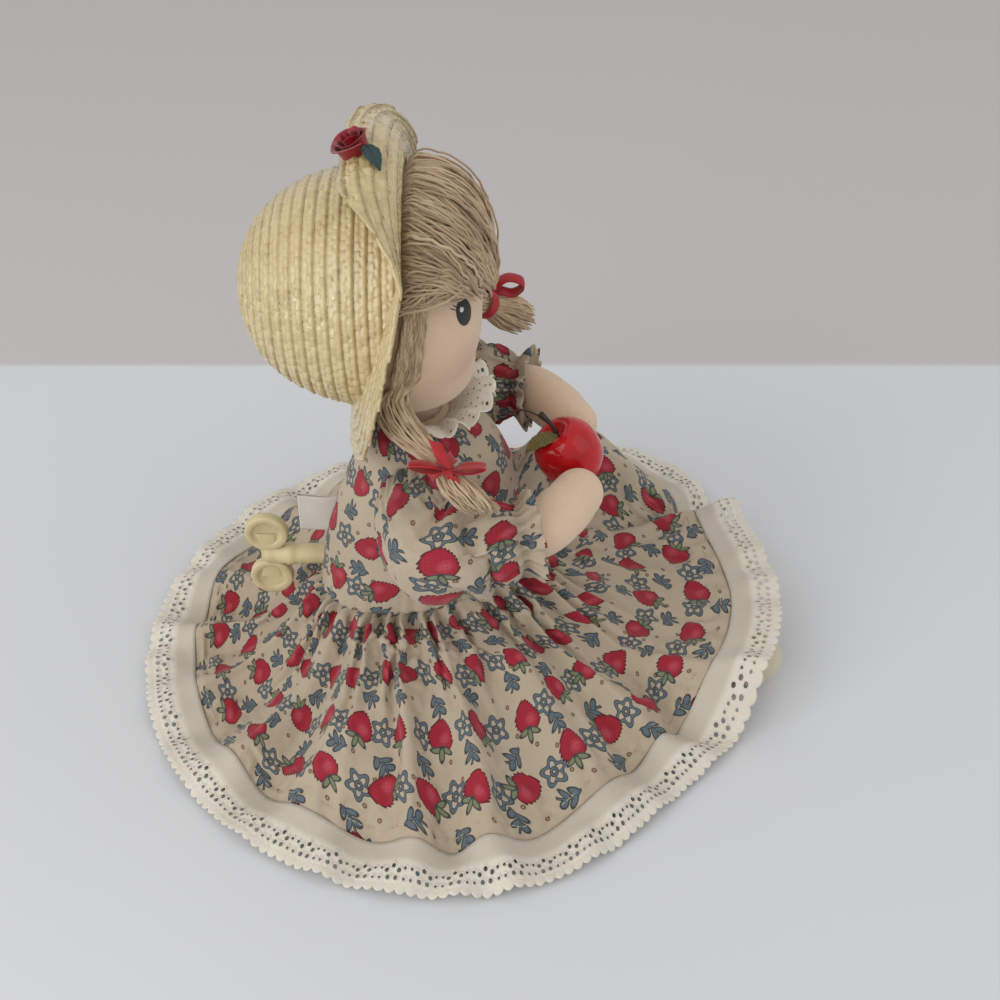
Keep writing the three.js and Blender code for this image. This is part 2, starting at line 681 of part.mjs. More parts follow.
const fromTop = (phi) => Math.abs(Math.atan2(Math.sin(phi), Math.cos(phi)));

/** The share of the crown that is left above the brim's seam, which is cut back behind the nape. */
function seamShare(phi) {
  const cut = CROWN_CUT * smooth(fromTop(phi), rad(70), rad(180));
  return 1 - (cut / CROWN_DEPTH) ** (1 / CROWN_SPACING);
}

/** Radius and depth along the brim, at a direction measured from the top of the bonnet. */
function brimProfile(phi, share) {
  const rolled = 1 - smooth(fromTop(phi), rad(5), rad(70));
  const low = smooth(fromTop(phi), rad(110), rad(160));
  const nape = smooth(fromTop(phi), rad(135), rad(175));
  const lean = rad(lerp(-BRIM_LEAN_DEG, BRIM_NAPE_LEAN_DEG, nape));
  const width = lerp(lerp(BRIM_SIDE, BRIM_TOP, rolled), BRIM_NAPE, low);
  const stand = Math.min(BRIM_STAND, width / 2);
  let [radius, depth] = crownProfile(seamShare(phi));
  const steps = 24;
  for (let i = 0; i < steps; i++) {
    const along = (width * share * (i + 0.5)) / steps;
    const roll = Math.max(0, (along - stand) / (width - stand));
    const heading = lean + rolled * rad(BRIM_ROLL_DEG) * roll;
    radius += (Math.cos(heading) * width * share) / steps;
    depth += (Math.sin(heading) * width * share) / steps;
  }
  return [radius, depth];
}

/** A bonnet point: q runs over the crown (0 to 1) and the brim (1 to 2), inset by a depth. */
function bonnetPoint(phi, q, inset) {
  const seam = seamShare(phi);
  const profile = (v) => (v <= 1 ? crownProfile(seam * Math.max(v, 0)) : brimProfile(phi, v - 1));
  const nudge = 0.004;
  const [radius, depth] = profile(q);
  const [radiusBefore, depthBefore] = profile(Math.max(q - nudge, 0));
  const [radiusAfter, depthAfter] = profile(Math.min(q + nudge, 2));
  const along = new THREE.Vector2(radiusAfter - radiusBefore, depthAfter - depthBefore).normalize();
  const r = radius + inset * along.y;
  const d = depth - inset * along.x;
  return vec(-r * Math.sin(phi), CROWN_Y + d, CROWN_Z + r * Math.cos(phi));
}

const BONNET_SIDES = 24;

function bonnetRing(q, inset) {
  const turn = (2 * Math.PI) / BONNET_SIDES;
  return Array.from({ length: BONNET_SIDES }, (_, j) => bonnetPoint(turn * j, q, inset));
}

/** The bonnet shell with its rows of braid, each row overlapping the next towards the brim. */
function bonnetForm(grow, rows) {
  const rings = [];
  for (let row = 0; row < rows; row++) {
    const [from, to] = [row / rows, (row + 1) / rows];
    const raised = rows === CROWN_ROWS ? STRAW_ROW_STEP : 0;
    rings.push(bonnetRing(Math.max(from, 0.04), -grow - raised));
    rings.push(bonnetRing(to - 0.15 / rows, -grow));
  }
  const brimStops = [1, 1.25, 1.45, 1.62, 1.8, 2];
  brimStops.forEach((q) => rings.push(bonnetRing(q, -grow)));
  brimStops.slice().reverse().forEach((q) => rings.push(bonnetRing(q, STRAW + grow)));
  [0.8, 0.5, 0.2].forEach((q) => rings.push(bonnetRing(q, STRAW + grow)));
  const pole = (inset) => vec(0, CROWN_Y + CROWN_DEPTH - inset, CROWN_Z);
  return solid(loft(rings, pole(-grow), pole(STRAW + grow)));
}

/** The room inside the crown, reaching a little forward of the brim seam. */
function crownRoom(inset) {
  const stops = [0.06, 0.2, 0.4, 0.65, 1];
  const rings = stops.map((q) => bonnetRing(q, inset));
  const front = rings.at(-1).map((point) => point.clone().setY(CROWN_Y - ROOM_REACH));
  return solid(loft([...rings, front], vec(0, CROWN_Y + CROWN_DEPTH - inset, CROWN_Z)));
}

const room = crownRoom(STRAW + SEAM_GAP);
const bonnetCover = bonnetForm(SEAM_GAP, 4);
const behindBrim = block(-CROWN_Z, CROWN_Z, CROWN_Y, 2 * CROWN_Z, 0, 2 * CROWN_Z);
const neckRoom = block(
  -NECK_RADIUS, NECK_RADIUS, CROWN_Y - ROOM_REACH, CROWN_Y + CROWN_CUT - ROOM_REACH,
  NECK_Z, CROWN_Z - CROWN_RADIUS + ROOM_REACH,
);
const outsideCrown = behindBrim.subtract(room).subtract(neckRoom);
add("head", mainBody(headForm(0).subtract(outsideCrown).subtract(bonnetCover)), SKIN);

const fringeMiddle = vec(0, FRINGE_Y, FRINGE_Z);
const fringeForm = (grow) =>
  eggForm(fringeMiddle, FRINGE_HALF_WIDTH + grow, FRINGE_HALF_DEPTH + grow, FRINGE_HALF_HEIGHT + grow);
const hairCover = (grow) => headForm(HAIR_THICKNESS + grow).add(fringeForm(grow));
const hair = hairCover(0).subtract(headForm(SEAM_GAP)).subtract(bonnetCover);
const behindHairline = behindBrim.translate(0, HAIRLINE_Y - CROWN_Y, 0);
add("back_hair", mainBody(hair.intersect(room).intersect(behindHairline)), YARN);

const faceArch = new THREE.Shape();
const faceSpring = FACE_TOP_Z - FACE_HALF_WIDTH / 2;
faceArch.moveTo(-FACE_HALF_WIDTH, 0);
faceArch.lineTo(FACE_HALF_WIDTH, 0);
faceArch.lineTo(FACE_HALF_WIDTH, faceSpring);
faceArch.absellipse(0, faceSpring, FACE_HALF_WIDTH, FACE_HALF_WIDTH / 2, 0, Math.PI);
const faceOpening = plateY(faceArch, -2 * HEAD_HALF_DEPTH, FACE_DEPTH_Y);
const aheadOfHairline = block(
  -CROWN_Z, CROWN_Z, -CROWN_Z, HAIRLINE_Y - SEAM_GAP, SIDE_HAIR_Z, 2 * CROWN_Z,
);
add("front_hair", mainBody(hair.intersect(aheadOfHairline).subtract(faceOpening)), YARN);
add("bonnet", bonnetForm(0, CROWN_ROWS), STRAW_PALE);

/** A gathered bunch of yarn from the side of the head, through its tie, to its brushed-out end. */
function pigtailForm(side, tieY, grow) {
  const path = [
    vec(side * HEAD_HALF_WIDTH, tieY + PIGTAIL_ROOT_BACK, PIGTAIL_TIE_Z + PIGTAIL_ROOT_RISE),
    vec(
      side * (PIGTAIL_TIE_X - PIGTAIL_SWELL_IN), tieY + PIGTAIL_SWELL_BACK,
      PIGTAIL_TIE_Z + PIGTAIL_SWELL_RISE,
    ),
    vec(side * PIGTAIL_TIE_X, tieY, PIGTAIL_TIE_Z),
    vec(side * (PIGTAIL_TIE_X + TAIL_OUT), tieY - TAIL_AHEAD, PIGTAIL_TIE_Z - TAIL_DROP),
    vec(side * (PIGTAIL_TIE_X + TAIL_END_OUT), tieY - TAIL_END_AHEAD, PIGTAIL_TIE_Z - TAIL_END_DROP),
  ];
  const radii = [PIGTAIL_RADIUS - 2, PIGTAIL_RADIUS, TIE_RADIUS, TAIL_RADIUS, TAIL_RADIUS - 1];
  return limbForm(path, radii, grow, 12);
}

/** A ribbon bow: a band round the tie, two loops and two tails. */
function bowForm(side, tieY) {
  const tie = vec(side * PIGTAIL_TIE_X, tieY, PIGTAIL_TIE_Z);
  const knot = tie.clone().add(vec(side * (TIE_RADIUS + 2), -3, 4));
  const loopEnd = (dy, dz) => knot.clone().add(vec(0, dy, dz));
  const half = RIBBON_WIDTH / 2;
  const strip = (dy, dz) => limbForm([knot, loopEnd(dy, dz)], [2.4, half], 0, 6);
  const loops = [strip(BOW_LOOP, 3), strip(-BOW_LOOP, 2)];
  const tails = [strip(-0.55 * BOW_LOOP, -BOW_LOOP), strip(0.3 * BOW_LOOP, BOW_LOOP)];
  const bandRing = eggForm(tie, TIE_RADIUS + 2.4, TIE_RADIUS + 2.4, TIE_RADIUS + 2.4, 10);
  return joined([bandRing, ...loops, ...tails]).subtract(pigtailForm(side, tieY, SEAM_GAP));
}

for (const [name, side, tieY] of [["right", -1, RIGHT_TIE_Y], ["left", 1, LEFT_TIE_Y]]) {
  const bunch = pigtailForm(side, tieY, 0).subtract(hairCover(SEAM_GAP)).subtract(bonnetCover);
  add(name + "_pigtail", mainBody(bunch), YARN);
  add(name + "_bow", mainBody(bowForm(side, tieY)), RED_SATIN);
}

// Ribbon rose and leaf, pinned where the roll of the brim turns down behind
const roseSeat = bonnetPoint(rad(ROSE_PLACE_DEG), ROSE_PLACE_SHARE, 0);
const ROSE_OUTLINE = [
  [0, -0.3], [0.8, -0.3], [1, 0.1], [0.9, 0.45], [0.72, 0.4],
  [0.7, 0.75], [0.5, 0.7], [0.45, 1], [0.2, 0.95], [0, 1.05],
];

function roseForm(grow) {
  const outline = ROSE_OUTLINE.map(
    ([r, h]) => new THREE.Vector2(r * (ROSE_RADIUS + grow), h * (ROSE_HEIGHT + grow)),
  );
  const geometry = new THREE.LatheGeometry(outline, 14);
  geometry.rotateX(Math.PI / 2);
  geometry.rotateX(rad(-ROSE_LEAN_DEG));
  geometry.translate(roseSeat.x, roseSeat.y, roseSeat.z);
  return solid(geometry);
}

/** A ribbon leaf with its stalk at a point, its tip sloping down in a compass direction. */
function leafForm(stalk, length, width, slopeDeg, headingDeg) {
  const options = { depth: LEAF_THICKNESS, bevelEnabled: false, curveSegments: 6 };
  const geometry = new THREE.ExtrudeGeometry(leafShape(length, width), options);
  geometry.rotateY(rad(slopeDeg));
  geometry.rotateZ(rad(headingDeg));
  geometry.translate(stalk.x, stalk.y, stalk.z);
  return solid(geometry);
}

add("hat_rose", mainBody(roseForm(0).subtract(bonnetCover)), ROSE_RED);
const roseLeafStalk = roseSeat.clone().add(vec(-ROSE_RADIUS / 3, -ROSE_RADIUS / 3, ROSE_HEIGHT / 2));
const roseLeaf = leafForm(roseLeafStalk, ROSE_LEAF_LENGTH, ROSE_LEAF_WIDTH, 14, 210);
add("rose_leaf", mainBody(roseLeaf.subtract(bonnetCover).subtract(roseForm(SEAM_GAP))), DARK_LEAF);

// Lace collar: a wavy strip round the front of the neck, open at the back
const COLLAR_OPENING = rad(62);
const neckPoint = vec(0, NECK_Y, NECK_Z);
const headSwept = swept(headForm(SEAM_GAP), Z_AXIS, neckPoint, -HEAD_TURN_DEG, HEAD_TURN_DEG);
const bonnetSwept = swept(bonnetCover, Z_AXIS, neckPoint, -HEAD_TURN_DEG, HEAD_TURN_DEG);
const collarSteps = COLLAR_WAVE_COUNT * 3;
const collarSections = Array.from({ length: collarSteps + 1 }, (_, i) => {
  const a = lerp(COLLAR_OPENING, 2 * Math.PI - COLLAR_OPENING, i / collarSteps);
  const front = (1 - Math.cos(a)) / 2;
  const wave = COLLAR_WAVE * Math.cos((2 * Math.PI * COLLAR_WAVE_COUNT * i) / collarSteps);
  const inner = NECK_RADIUS + CLOTH;
  const outer = inner + lerp(4, COLLAR_REACH, front);
  const at = (radius, z) => vec(radius * Math.sin(a), NECK_Y + radius * Math.cos(a), z);
  const innerZ = NECK_Z - CLOTH / 2;
  const outerZ = innerZ + (COLLAR_RISE + wave) * front;
  return [at(inner, innerZ), at(outer, outerZ), at(outer, outerZ + LACE), at(inner, innerZ + LACE)];
});
const collar = solid(loft(collarSections))
  .subtract(torsoForm(BODICE_OUT + SEAM_GAP).intersect(neckline.translate(0, 0, SEAM_GAP)))
  .subtract(torsoForm(SEAM_GAP))
  .subtract(headSwept)
  .subtract(bonnetSwept);
add("lace_collar", mainBody(collar), LACE_CREAM);

// Arms, sleeves and apple: the hands are sewn to the apple, so all of it swings at the shoulders
const shoulderPoint = vec(0, SHOULDER_JOINT_Y, SHOULDER_JOINT_Z);
const appleCentre = vec(0, APPLE_Y, HAND_Z + APPLE_RISE);
const applePoints = [
  [0, 0.72], [0.16, 0.76], [0.42, 0.93], [0.72, 0.86], [0.96, 0.45],
  [1, 0], [0.9, -0.5], [0.6, -0.86], [0.3, -0.95], [0, -0.84],
];
const appleSpline = new THREE.SplineCurve(
  applePoints.map(([r, h]) => new THREE.Vector2(r * APPLE_RADIUS, h * APPLE_RADIUS)),
);
const appleProfile = appleSpline.getPoints(12).reverse();
appleProfile.forEach((point) => point.setX(Math.max(0, point.x)));
appleProfile[0].setX(0);
appleProfile.at(-1).setX(0);

function appleForm(scale) {
  const geometry = new THREE.LatheGeometry(appleProfile, ROUND);
  geometry.rotateX(Math.PI / 2);
  geometry.scale(scale, scale, scale);
  geometry.rotateX(rad(-APPLE_TILT_DEG));
  geometry.translate(appleCentre.x, appleCentre.y, appleCentre.z);
  return solid(geometry);
}

const appleCover = appleForm(1 + SEAM_GAP / APPLE_RADIUS);
add("apple", appleForm(1), APPLE_RED);
const appleUp = vec(0, Math.sin(rad(APPLE_TILT_DEG)), Math.cos(rad(APPLE_TILT_DEG)));
const stemFoot = appleCentre.clone().addScaledVector(appleUp, 0.72 * APPLE_RADIUS + SEAM_GAP);
const stemTip = stemFoot.clone().addScaledVector(appleUp, STEM_LENGTH);
const stemMiddle = stemFoot.clone().addScaledVector(appleUp, STEM_LENGTH / 2).add(vec(0, -1.5, 0));
const stemPath = [stemFoot, stemMiddle, stemTip];
const stem = limbForm(stemPath, [STEM_RADIUS, STEM_RADIUS * 0.8, STEM_RADIUS * 1.3], 0, 8, true);
const wireEnd = stemTip.clone().add(vec(0, STEM_WIRE_REACH, -1));
const wireMiddle = stemTip.clone().add(vec(0, STEM_WIRE_REACH / 2, 2.5));
const wire = limbForm([stemTip, wireMiddle, wireEnd], [0.5, 0.5, 0.5], 0, 6);
add("apple_stem", stem.add(wire).subtract(appleCover), STEM_BROWN);

const stemCover = limbForm(stemPath, [STEM_RADIUS, STEM_RADIUS, STEM_RADIUS * 1.3], SEAM_GAP, 8);
const appleLeafStalk = stemFoot.clone().add(vec(-STEM_RADIUS, 0, 2));
const appleLeaf = leafForm(appleLeafStalk, APPLE_LEAF_LENGTH, APPLE_LEAF_WIDTH, 16, 140);
add("apple_leaf", mainBody(appleLeaf.subtract(appleCover).subtract(stemCover)), OLIVE_LEAF);

const armPath = [
  vec(-ARM_REACH + ARM_ROOT, SHOULDER_JOINT_Y, SHOULDER_JOINT_Z),
  vec(-ARM_REACH - ARM_BEND, SHOULDER_JOINT_Y - 3, SHOULDER_JOINT_Z),
  vec(-ELBOW_X, ELBOW_Y, ELBOW_Z),
  vec(-WRIST_X, WRIST_Y, HAND_Z),
  vec(-WRIST_X + HAND_TURN, APPLE_Y + HAND_BACK, HAND_Z),
  vec(-APPLE_RADIUS - GRIP, APPLE_Y - GRIP_AHEAD, HAND_Z),
];
const ARM_TAPER = [2, 1, 1, 0.5, 0, 1]; // off the radius, from the shoulder to the hand
const armRadii = ARM_TAPER.map((taper) => ARM_RADIUS - taper);
const sleevePath = [
  vec(-ARM_REACH + SLEEVE_ROOT, SHOULDER_JOINT_Y, SHOULDER_JOINT_Z - SLEEVE_DROP / 2),
  vec(-ARM_REACH - ARM_BEND, SHOULDER_JOINT_Y - 2, SHOULDER_JOINT_Z - SLEEVE_DROP),
  vec(-ELBOW_X, ELBOW_Y + 6, ELBOW_Z - 1),
  vec(-ELBOW_X - 1, (ELBOW_Y + WRIST_Y) / 2 + 1, lerp(ELBOW_Z, HAND_Z, 0.5)),
  vec(-WRIST_X - 1.5, WRIST_Y + 5, HAND_Z),
];
const sleeveRadii = [SLEEVE_ROOT_RADIUS, SLEEVE_RADIUS - 2, SLEEVE_RADIUS, SLEEVE_RADIUS - 3, CUFF_RADIUS];
const frillDirection = armPath[3].clone().sub(sleevePath[3]).normalize();
const frillEnd = sleevePath[4].clone().addScaledVector(frillDirection, FRILL_LENGTH);

/** A short flared tube from the gathered cuff outwards. */
function frillForm([from, to], fromRadius, toRadius) {
  const direction = to.clone().sub(from).normalize();
  const side = direction.clone().cross(Z_AXIS).normalize();
  const up = side.clone().cross(direction);
  const ring = (centre, radius) =>
    Array.from({ length: 2 * FRILL_WAVES }, (_, j) => {
      const a = (Math.PI * j) / FRILL_WAVES;
      const wavy = radius * (1 + 0.05 * Math.cos(FRILL_WAVES * a));
      return centre.clone().addScaledVector(up, wavy * Math.cos(a)).addScaledVector(side, wavy * Math.sin(a));
    });
  return solid(loft([ring(from, fromRadius), ring(to, toRadius)]));
}

const torsoSwept = swept(torsoForm(SEAM_GAP), X_AXIS, shoulderPoint, 0, ARMS_LOWER_DEG);
const bodiceSwept = swept(torsoForm(BODICE_OUT + SEAM_GAP), X_AXIS, shoulderPoint, 0, ARMS_LOWER_DEG);
for (const [name, side, pathOf] of [["right", -1, (p) => p], ["left", 1, mirrored]]) {
  const arm = limbForm(pathOf(armPath), armRadii).subtract(appleCover).subtract(torsoSwept);
  add(name + "_arm", mainBody(arm), SKIN);
  const armCover = limbForm(pathOf(armPath), armRadii, SEAM_GAP);
  const puff = limbForm(pathOf(sleevePath), sleeveRadii);
  const frill = frillForm(pathOf([sleevePath.at(-1), frillEnd]), CUFF_RADIUS, FRILL_RADIUS);
  const beyondEnd = frillEnd.clone().addScaledVector(frillDirection, 40);
  const beyondCuff = frillForm(pathOf([frillEnd, beyondEnd]), 60, 60);
  const outer = puff.subtract(beyondCuff).add(frill);
  const sleeve = outer.subtract(armCover).subtract(bodiceSwept);
  add(name + "_sleeve", mainBody(sleeve), PRINT);
}

// Legs and shoes, lying forward under the skirt; each swings a little at the hip
for (const [name, side, ankleX] of [["right", -1, RIGHT_ANKLE_X], ["left", 1, LEFT_ANKLE_X]]) {
  const hip = vec(side * HIP_JOINT_X, HIP_JOINT_Y, LEG_RADIUS + 2 * SEAM_GAP);
  const ankle = vec(ankleX, ANKLE_Y, ANKLE_RADIUS + 2 * SEAM_GAP);
  const knee = hip.clone().lerp(ankle, 0.5);
  const torsoCover = swept(torsoForm(SEAM_GAP), Z_AXIS, hip, -LEG_SWING_DEG, LEG_SWING_DEG);
  const shoeDirection = ankle.clone().sub(hip).setZ(0).normalize();
  const shoeMiddle = ankle.clone().addScaledVector(shoeDirection, SHOE_LENGTH / 2 + 4);
  shoeMiddle.setZ(SHOE_HEIGHT / 2 + SEAM_GAP);
  const shoeForm = (grow) =>
    eggForm(shoeMiddle, SHOE_HALF_WIDTH + grow, SHOE_LENGTH / 2 + 4 + grow, SHOE_HEIGHT / 2 + grow, 18);
  const legForm = limbForm([hip, knee, ankle], [LEG_RADIUS, LEG_RADIUS - 0.5, ANKLE_RADIUS]);
  add(name + "_leg", mainBody(legForm.subtract(torsoCover).subtract(shoeForm(SEAM_GAP))), SKIN);
  add(name + "_shoe", shoeForm(0), SHOE_CREAM);
}

// Movement case: two halves with corner bosses, screwed together
const partingY = caseFrontY + CASE_FRONT_DEPTH;
const bossInset = CASE_WALL + BOSS_RADIUS - 0.4;
const bossPlaces = [[-1, -1], [1, -1], [1, 1], [-1, 1]].map(([x, z]) => [
  bedX + x * (caseWidth / 2 - bossInset),
  KEY_Z + z * (CASE_HEIGHT / 2 - bossInset),
]);

function caseHalf(fromY, toY, openFrom, openTo) {
  const shell = caseBlock(0, fromY, toY).subtract(caseBlock(-CASE_WALL, openFrom, openTo));
  const within = caseBlock(0, fromY, toY);
  const bosses = bossPlaces.map(([x, z]) => rodY(x, z, BOSS_RADIUS, fromY, toY, 8).intersect(within));
  return joined([shell, ...bosses]);
}

const screwBore = SCREW_RADIUS + SHAFT_GAP;
const headBore = SCREW_HEAD_RADIUS + SHAFT_GAP;
const screwSeatY = CASE_BACK_Y - SCREW_HEAD_HEIGHT - SHAFT_GAP;
const screwReachY = partingY - 6;
let caseFront = caseHalf(caseFrontY, partingY - SEAM_GAP / 2, caseFrontY + CASE_WALL, partingY);
let caseRear = caseHalf(partingY + SEAM_GAP / 2, CASE_BACK_Y, partingY, CASE_BACK_Y - CASE_WALL);
for (const [x, z] of bossPlaces) {
  caseFront = caseFront.subtract(rodY(x, z, screwBore, screwReachY - SHAFT_GAP, partingY, 8));
  caseRear = caseRear.subtract(rodY(x, z, screwBore, partingY, CASE_BACK_Y, 8));
  caseRear = caseRear.subtract(rodY(x, z, headBore, screwSeatY, CASE_BACK_Y + 1, 8));
}
caseRear = caseRear.subtract(rodY(0, KEY_Z, ARBOR_RADIUS + SHAFT_GAP, partingY, CASE_BACK_Y + 1, 16));
add("movement_case_front", caseFront, CASE_IVORY);

/** A screw along Y with its head centred at headY and its shank ending at endY. */
function screwY(x, z, headY, endY) {
  const half = SCREW_HEAD_HEIGHT / 2;
  const head = rodY(x, z, SCREW_HEAD_RADIUS, headY - half, headY + half, 8);
  return head.add(rodY(x, z, SCREW_RADIUS, Math.min(headY, endY), Math.max(headY, endY), 8));
}

bossPlaces.forEach(([x, z], i) => {
  const headY = screwSeatY + SHAFT_GAP / 2 + SCREW_HEAD_HEIGHT / 2;
  add("case_screw_" + (i + 1), screwY(x, z, headY, screwReachY), STEEL);
});

// Bedplate with bearing posts, comb ledge and pads
const bedBackY = CASE_BACK_Y - CASE_WALL - BEDPLATE_PAD - SEAM_GAP;
const bedFrontY = bedBackY - BEDPLATE;
const driveTooth = 2 * DRIVE_MODULE;
const housingFrontY = bedFrontY - SEAM_GAP - HOUSING_HEIGHT;
const driveFaceY = housingFrontY - SEAM_GAP - DRIVE_DISC;
const tipRadius = (teeth, module) => module * (teeth / 2 + 0.85);
const rootRadius = (teeth, module) => module * (teeth / 2 - 1.15);
const axleY = driveFaceY - SHAFT_GAP - tipRadius(CYLINDER_PINION_TEETH, DRIVE_MODULE);
const meshDistance = WHEEL_MODULE * ((WHEEL_TEETH + TRAIN_PINION_TEETH) / 2 + 0.15);
const trainZ = KEY_Z - meshDistance;
const wormDistance = tipRadius(WORM_WHEEL_TEETH, WORM_MODULE) + WORM_ROOT + SHAFT_GAP;
const wormZ = trainZ - wormDistance;
const wormWheelX = (wheelX + rightPostX) / 2;
const axleBore = AXLE_RADIUS + SHAFT_GAP;

const bedShape = roundedRectangle(bedWidth, BEDPLATE_HEIGHT, BEDPLATE_CORNER);
const combTipZ = KEY_Z + CYLINDER_RADIUS + PIN_HEIGHT + PIN_CLEARANCE;
const combBaseZ = combTipZ + COMB_TOOTH_LENGTH;
const combTopZ = combBaseZ + COMB_BASE;
const combBackY = axleY + COMB_THICKNESS / 2;
const combFrontY = combBackY - COMB_THICKNESS;
const padPlaces = [[-1, 1], [1, -1], [-1, -1]].map(([x, z]) => [
  bedX + x * (bedWidth / 2 - BEDPLATE_PAD_RADIUS - BEDPLATE_PAD_INSET),
  KEY_Z + z * (BEDPLATE_HEIGHT / 2 - BEDPLATE_PAD_RADIUS - BEDPLATE_PAD_INSET),
]);
const postFootZ = trainZ - POST_WIDTH / 2;
const postTopZ = KEY_Z + POST_WIDTH / 2;
const postFrontY = axleY - POST_WIDTH / 2;
const bearingPost = (x) =>
  block(x, x + POST, postFrontY, bedFrontY + 0.5, postFootZ, postTopZ)
    .subtract(rodX(axleY, KEY_Z, axleBore, x - 1, x + POST + 1, 12))
    .subtract(rodX(axleY, trainZ, axleBore, x - 1, x + POST + 1, 12));
const combLedge = block(
  cylinderFromX, cylinderToX, combBackY + SEAM_GAP, bedFrontY + 0.5, combBaseZ + 0.5, combTopZ - 0.5,
);
const combScrewZ = combBaseZ + COMB_BASE / 2;
const combScrewPlaces = [0.2, 0.8].map((share) => [lerp(cylinderFromX, cylinderToX, share), combScrewZ]);
const bedScrewPlaces = padPlaces.slice(0, 2);
let bedplate = joined([
  plateY(bedShape, bedFrontY, bedBackY).translate(bedX, 0, KEY_Z),
  bearingPost(leftPostX),
  bearingPost(rightPostX),
  combLedge,
  ...padPlaces.map(([x, z]) => rodY(x, z, BEDPLATE_PAD_RADIUS, bedFrontY + 0.5, bedBackY + BEDPLATE_PAD, 8)),
]);
bedplate = bedplate
  .subtract(rodY(0, KEY_Z, ARBOR_RADIUS + SHAFT_GAP, bedFrontY - 1, bedBackY + 1, 16))
  .subtract(rodY(wormWheelX, wormZ, axleBore, bedFrontY - 1, bedBackY + 1, 10));
for (const [x, z] of combScrewPlaces) {
  bedplate = bedplate.subtract(rodY(x, z, screwBore, combBackY, combBackY + 5, 10));
}
for (const [x, z] of bedScrewPlaces) {
  bedplate = bedplate.subtract(rodY(x, z, screwBore, bedFrontY - 1, CASE_BACK_Y, 8));
  caseRear = caseRear.subtract(rodY(x, z, screwBore, bedFrontY, CASE_BACK_Y - CASE_WALL / 4, 10));
}
add("movement_case_rear", caseRear, CASE_IVORY);
add("bedplate", bedplate, ZINC);
bedScrewPlaces.forEach(([x, z], i) => {
  const headY = bedFrontY - SHAFT_GAP - SCREW_HEAD_HEIGHT / 2;
  add("bedplate_screw_" + (i + 1), screwY(x, z, headY, CASE_BACK_Y - CASE_WALL / 2), STEEL);
});

// Comb: one plate, slotted into tuned teeth that grow shorter towards the treble end
const combShape = new THREE.Shape();
const combFromX = cylinderFromX;
combShape.moveTo(combFromX, combTopZ);
for (let note = 0; note < NOTE_COUNT; note++) {
  const x = combFromX + note * NOTE_PITCH;
  const slotZ = combBaseZ - COMB_TAPER * (NOTE_COUNT - note);
  combShape.lineTo(x, slotZ);
  combShape.lineTo(x + COMB_SLOT, slotZ);
  combShape.lineTo(x + COMB_SLOT, combTipZ);
  combShape.lineTo(x + NOTE_PITCH, combTipZ);
}
combShape.lineTo(combFromX + NOTE_COUNT * NOTE_PITCH, combTopZ);
let comb = plateY(combShape, combFrontY, combBackY);
for (const [x, z] of combScrewPlaces) {
  comb = comb.subtract(rodY(x, z, screwBore, combFrontY - 1, combBackY + 1, 8));
}
add("comb", comb, STEEL);
combScrewPlaces.forEach(([x, z], i) => {
  const headY = combFrontY - SHAFT_GAP - SCREW_HEAD_HEIGHT / 2;
  add("comb_screw_" + (i + 1), screwY(x, z, headY, combBackY + 4), STEEL);
});

// Spring housing and mainspring
const housing = rodY(0, KEY_Z, HOUSING_RADIUS, housingFrontY, bedFrontY - SEAM_GAP, 28)
  .subtract(rodY(0, KEY_Z, HOUSING_RADIUS - HOUSING_WALL, housingFrontY + HOUSING_WALL, bedFrontY, 28))
  .subtract(rodY(0, KEY_Z, ARBOR_RADIUS + SHAFT_GAP, housingFrontY - 1, bedFrontY, 16));
add("spring_housing", housing, BRASS);

const springStart = ARBOR_RADIUS + SEAM_GAP + 0.2;
const springEnd = HOUSING_RADIUS - HOUSING_WALL - SEAM_GAP - SPRING_STRIP;
const springSteps = SPRING_TURNS * 10;
const spiralPoint = (i, out) => {
  const a = (2 * Math.PI * SPRING_TURNS * i) / springSteps;
  const r = lerp(springStart, springEnd, i / springSteps) + out;
  return new THREE.Vector2(r * Math.cos(a), KEY_Z + r * Math.sin(a));
};
const innerSpiral = Array.from({ length: springSteps + 1 }, (_, i) => spiralPoint(i, 0));
const outerSpiral = Array.from({ length: springSteps + 1 }, (_, i) => spiralPoint(i, SPRING_STRIP));
const springShape = new THREE.Shape([...innerSpiral, ...outerSpiral.reverse()]);
const springFrontY = housingFrontY + HOUSING_WALL + SEAM_GAP;
add("mainspring", plateY(springShape, springFrontY, bedFrontY - 2 * SEAM_GAP), STEEL);

// Wheels
/** A toothed wheel outline with its first tooth along the first axis. */
function gearShape(teeth, module, phase = 0) {
  const step = (2 * Math.PI) / teeth;
  const shape = new THREE.Shape();
  const corner = (radius, angle) => [radius * Math.cos(angle), radius * Math.sin(angle)];
  for (let i = 0; i < teeth; i++) {
    const a = (i + phase) * step;
    const corners = [
      corner(rootRadius(teeth, module), a - 0.29 * step),
      corner(tipRadius(teeth, module), a - 0.11 * step),
      corner(tipRadius(teeth, module), a + 0.11 * step),
      corner(rootRadius(teeth, module), a + 0.29 * step),
    ];
    corners.forEach(([x, y], k) => (i + k === 0 ? shape.moveTo(x, y) : shape.lineTo(x, y)));
  }
  return shape;
}

/** A spur wheel on an axis along X; its first tooth points down unless a half step turns it. */
function spurX(teeth, module, phase, fromX, toX, y, z, bore) {
  const shape = gearShape(teeth, module, phase);
  const geometry = new THREE.ExtrudeGeometry(shape, { depth: toX - fromX, bevelEnabled: false });
  geometry.rotateY(Math.PI / 2);
  geometry.translate(fromX, y, z);
  return solid(geometry).subtract(rodX(y, z, bore, fromX - 1, toX + 1, 12));
}

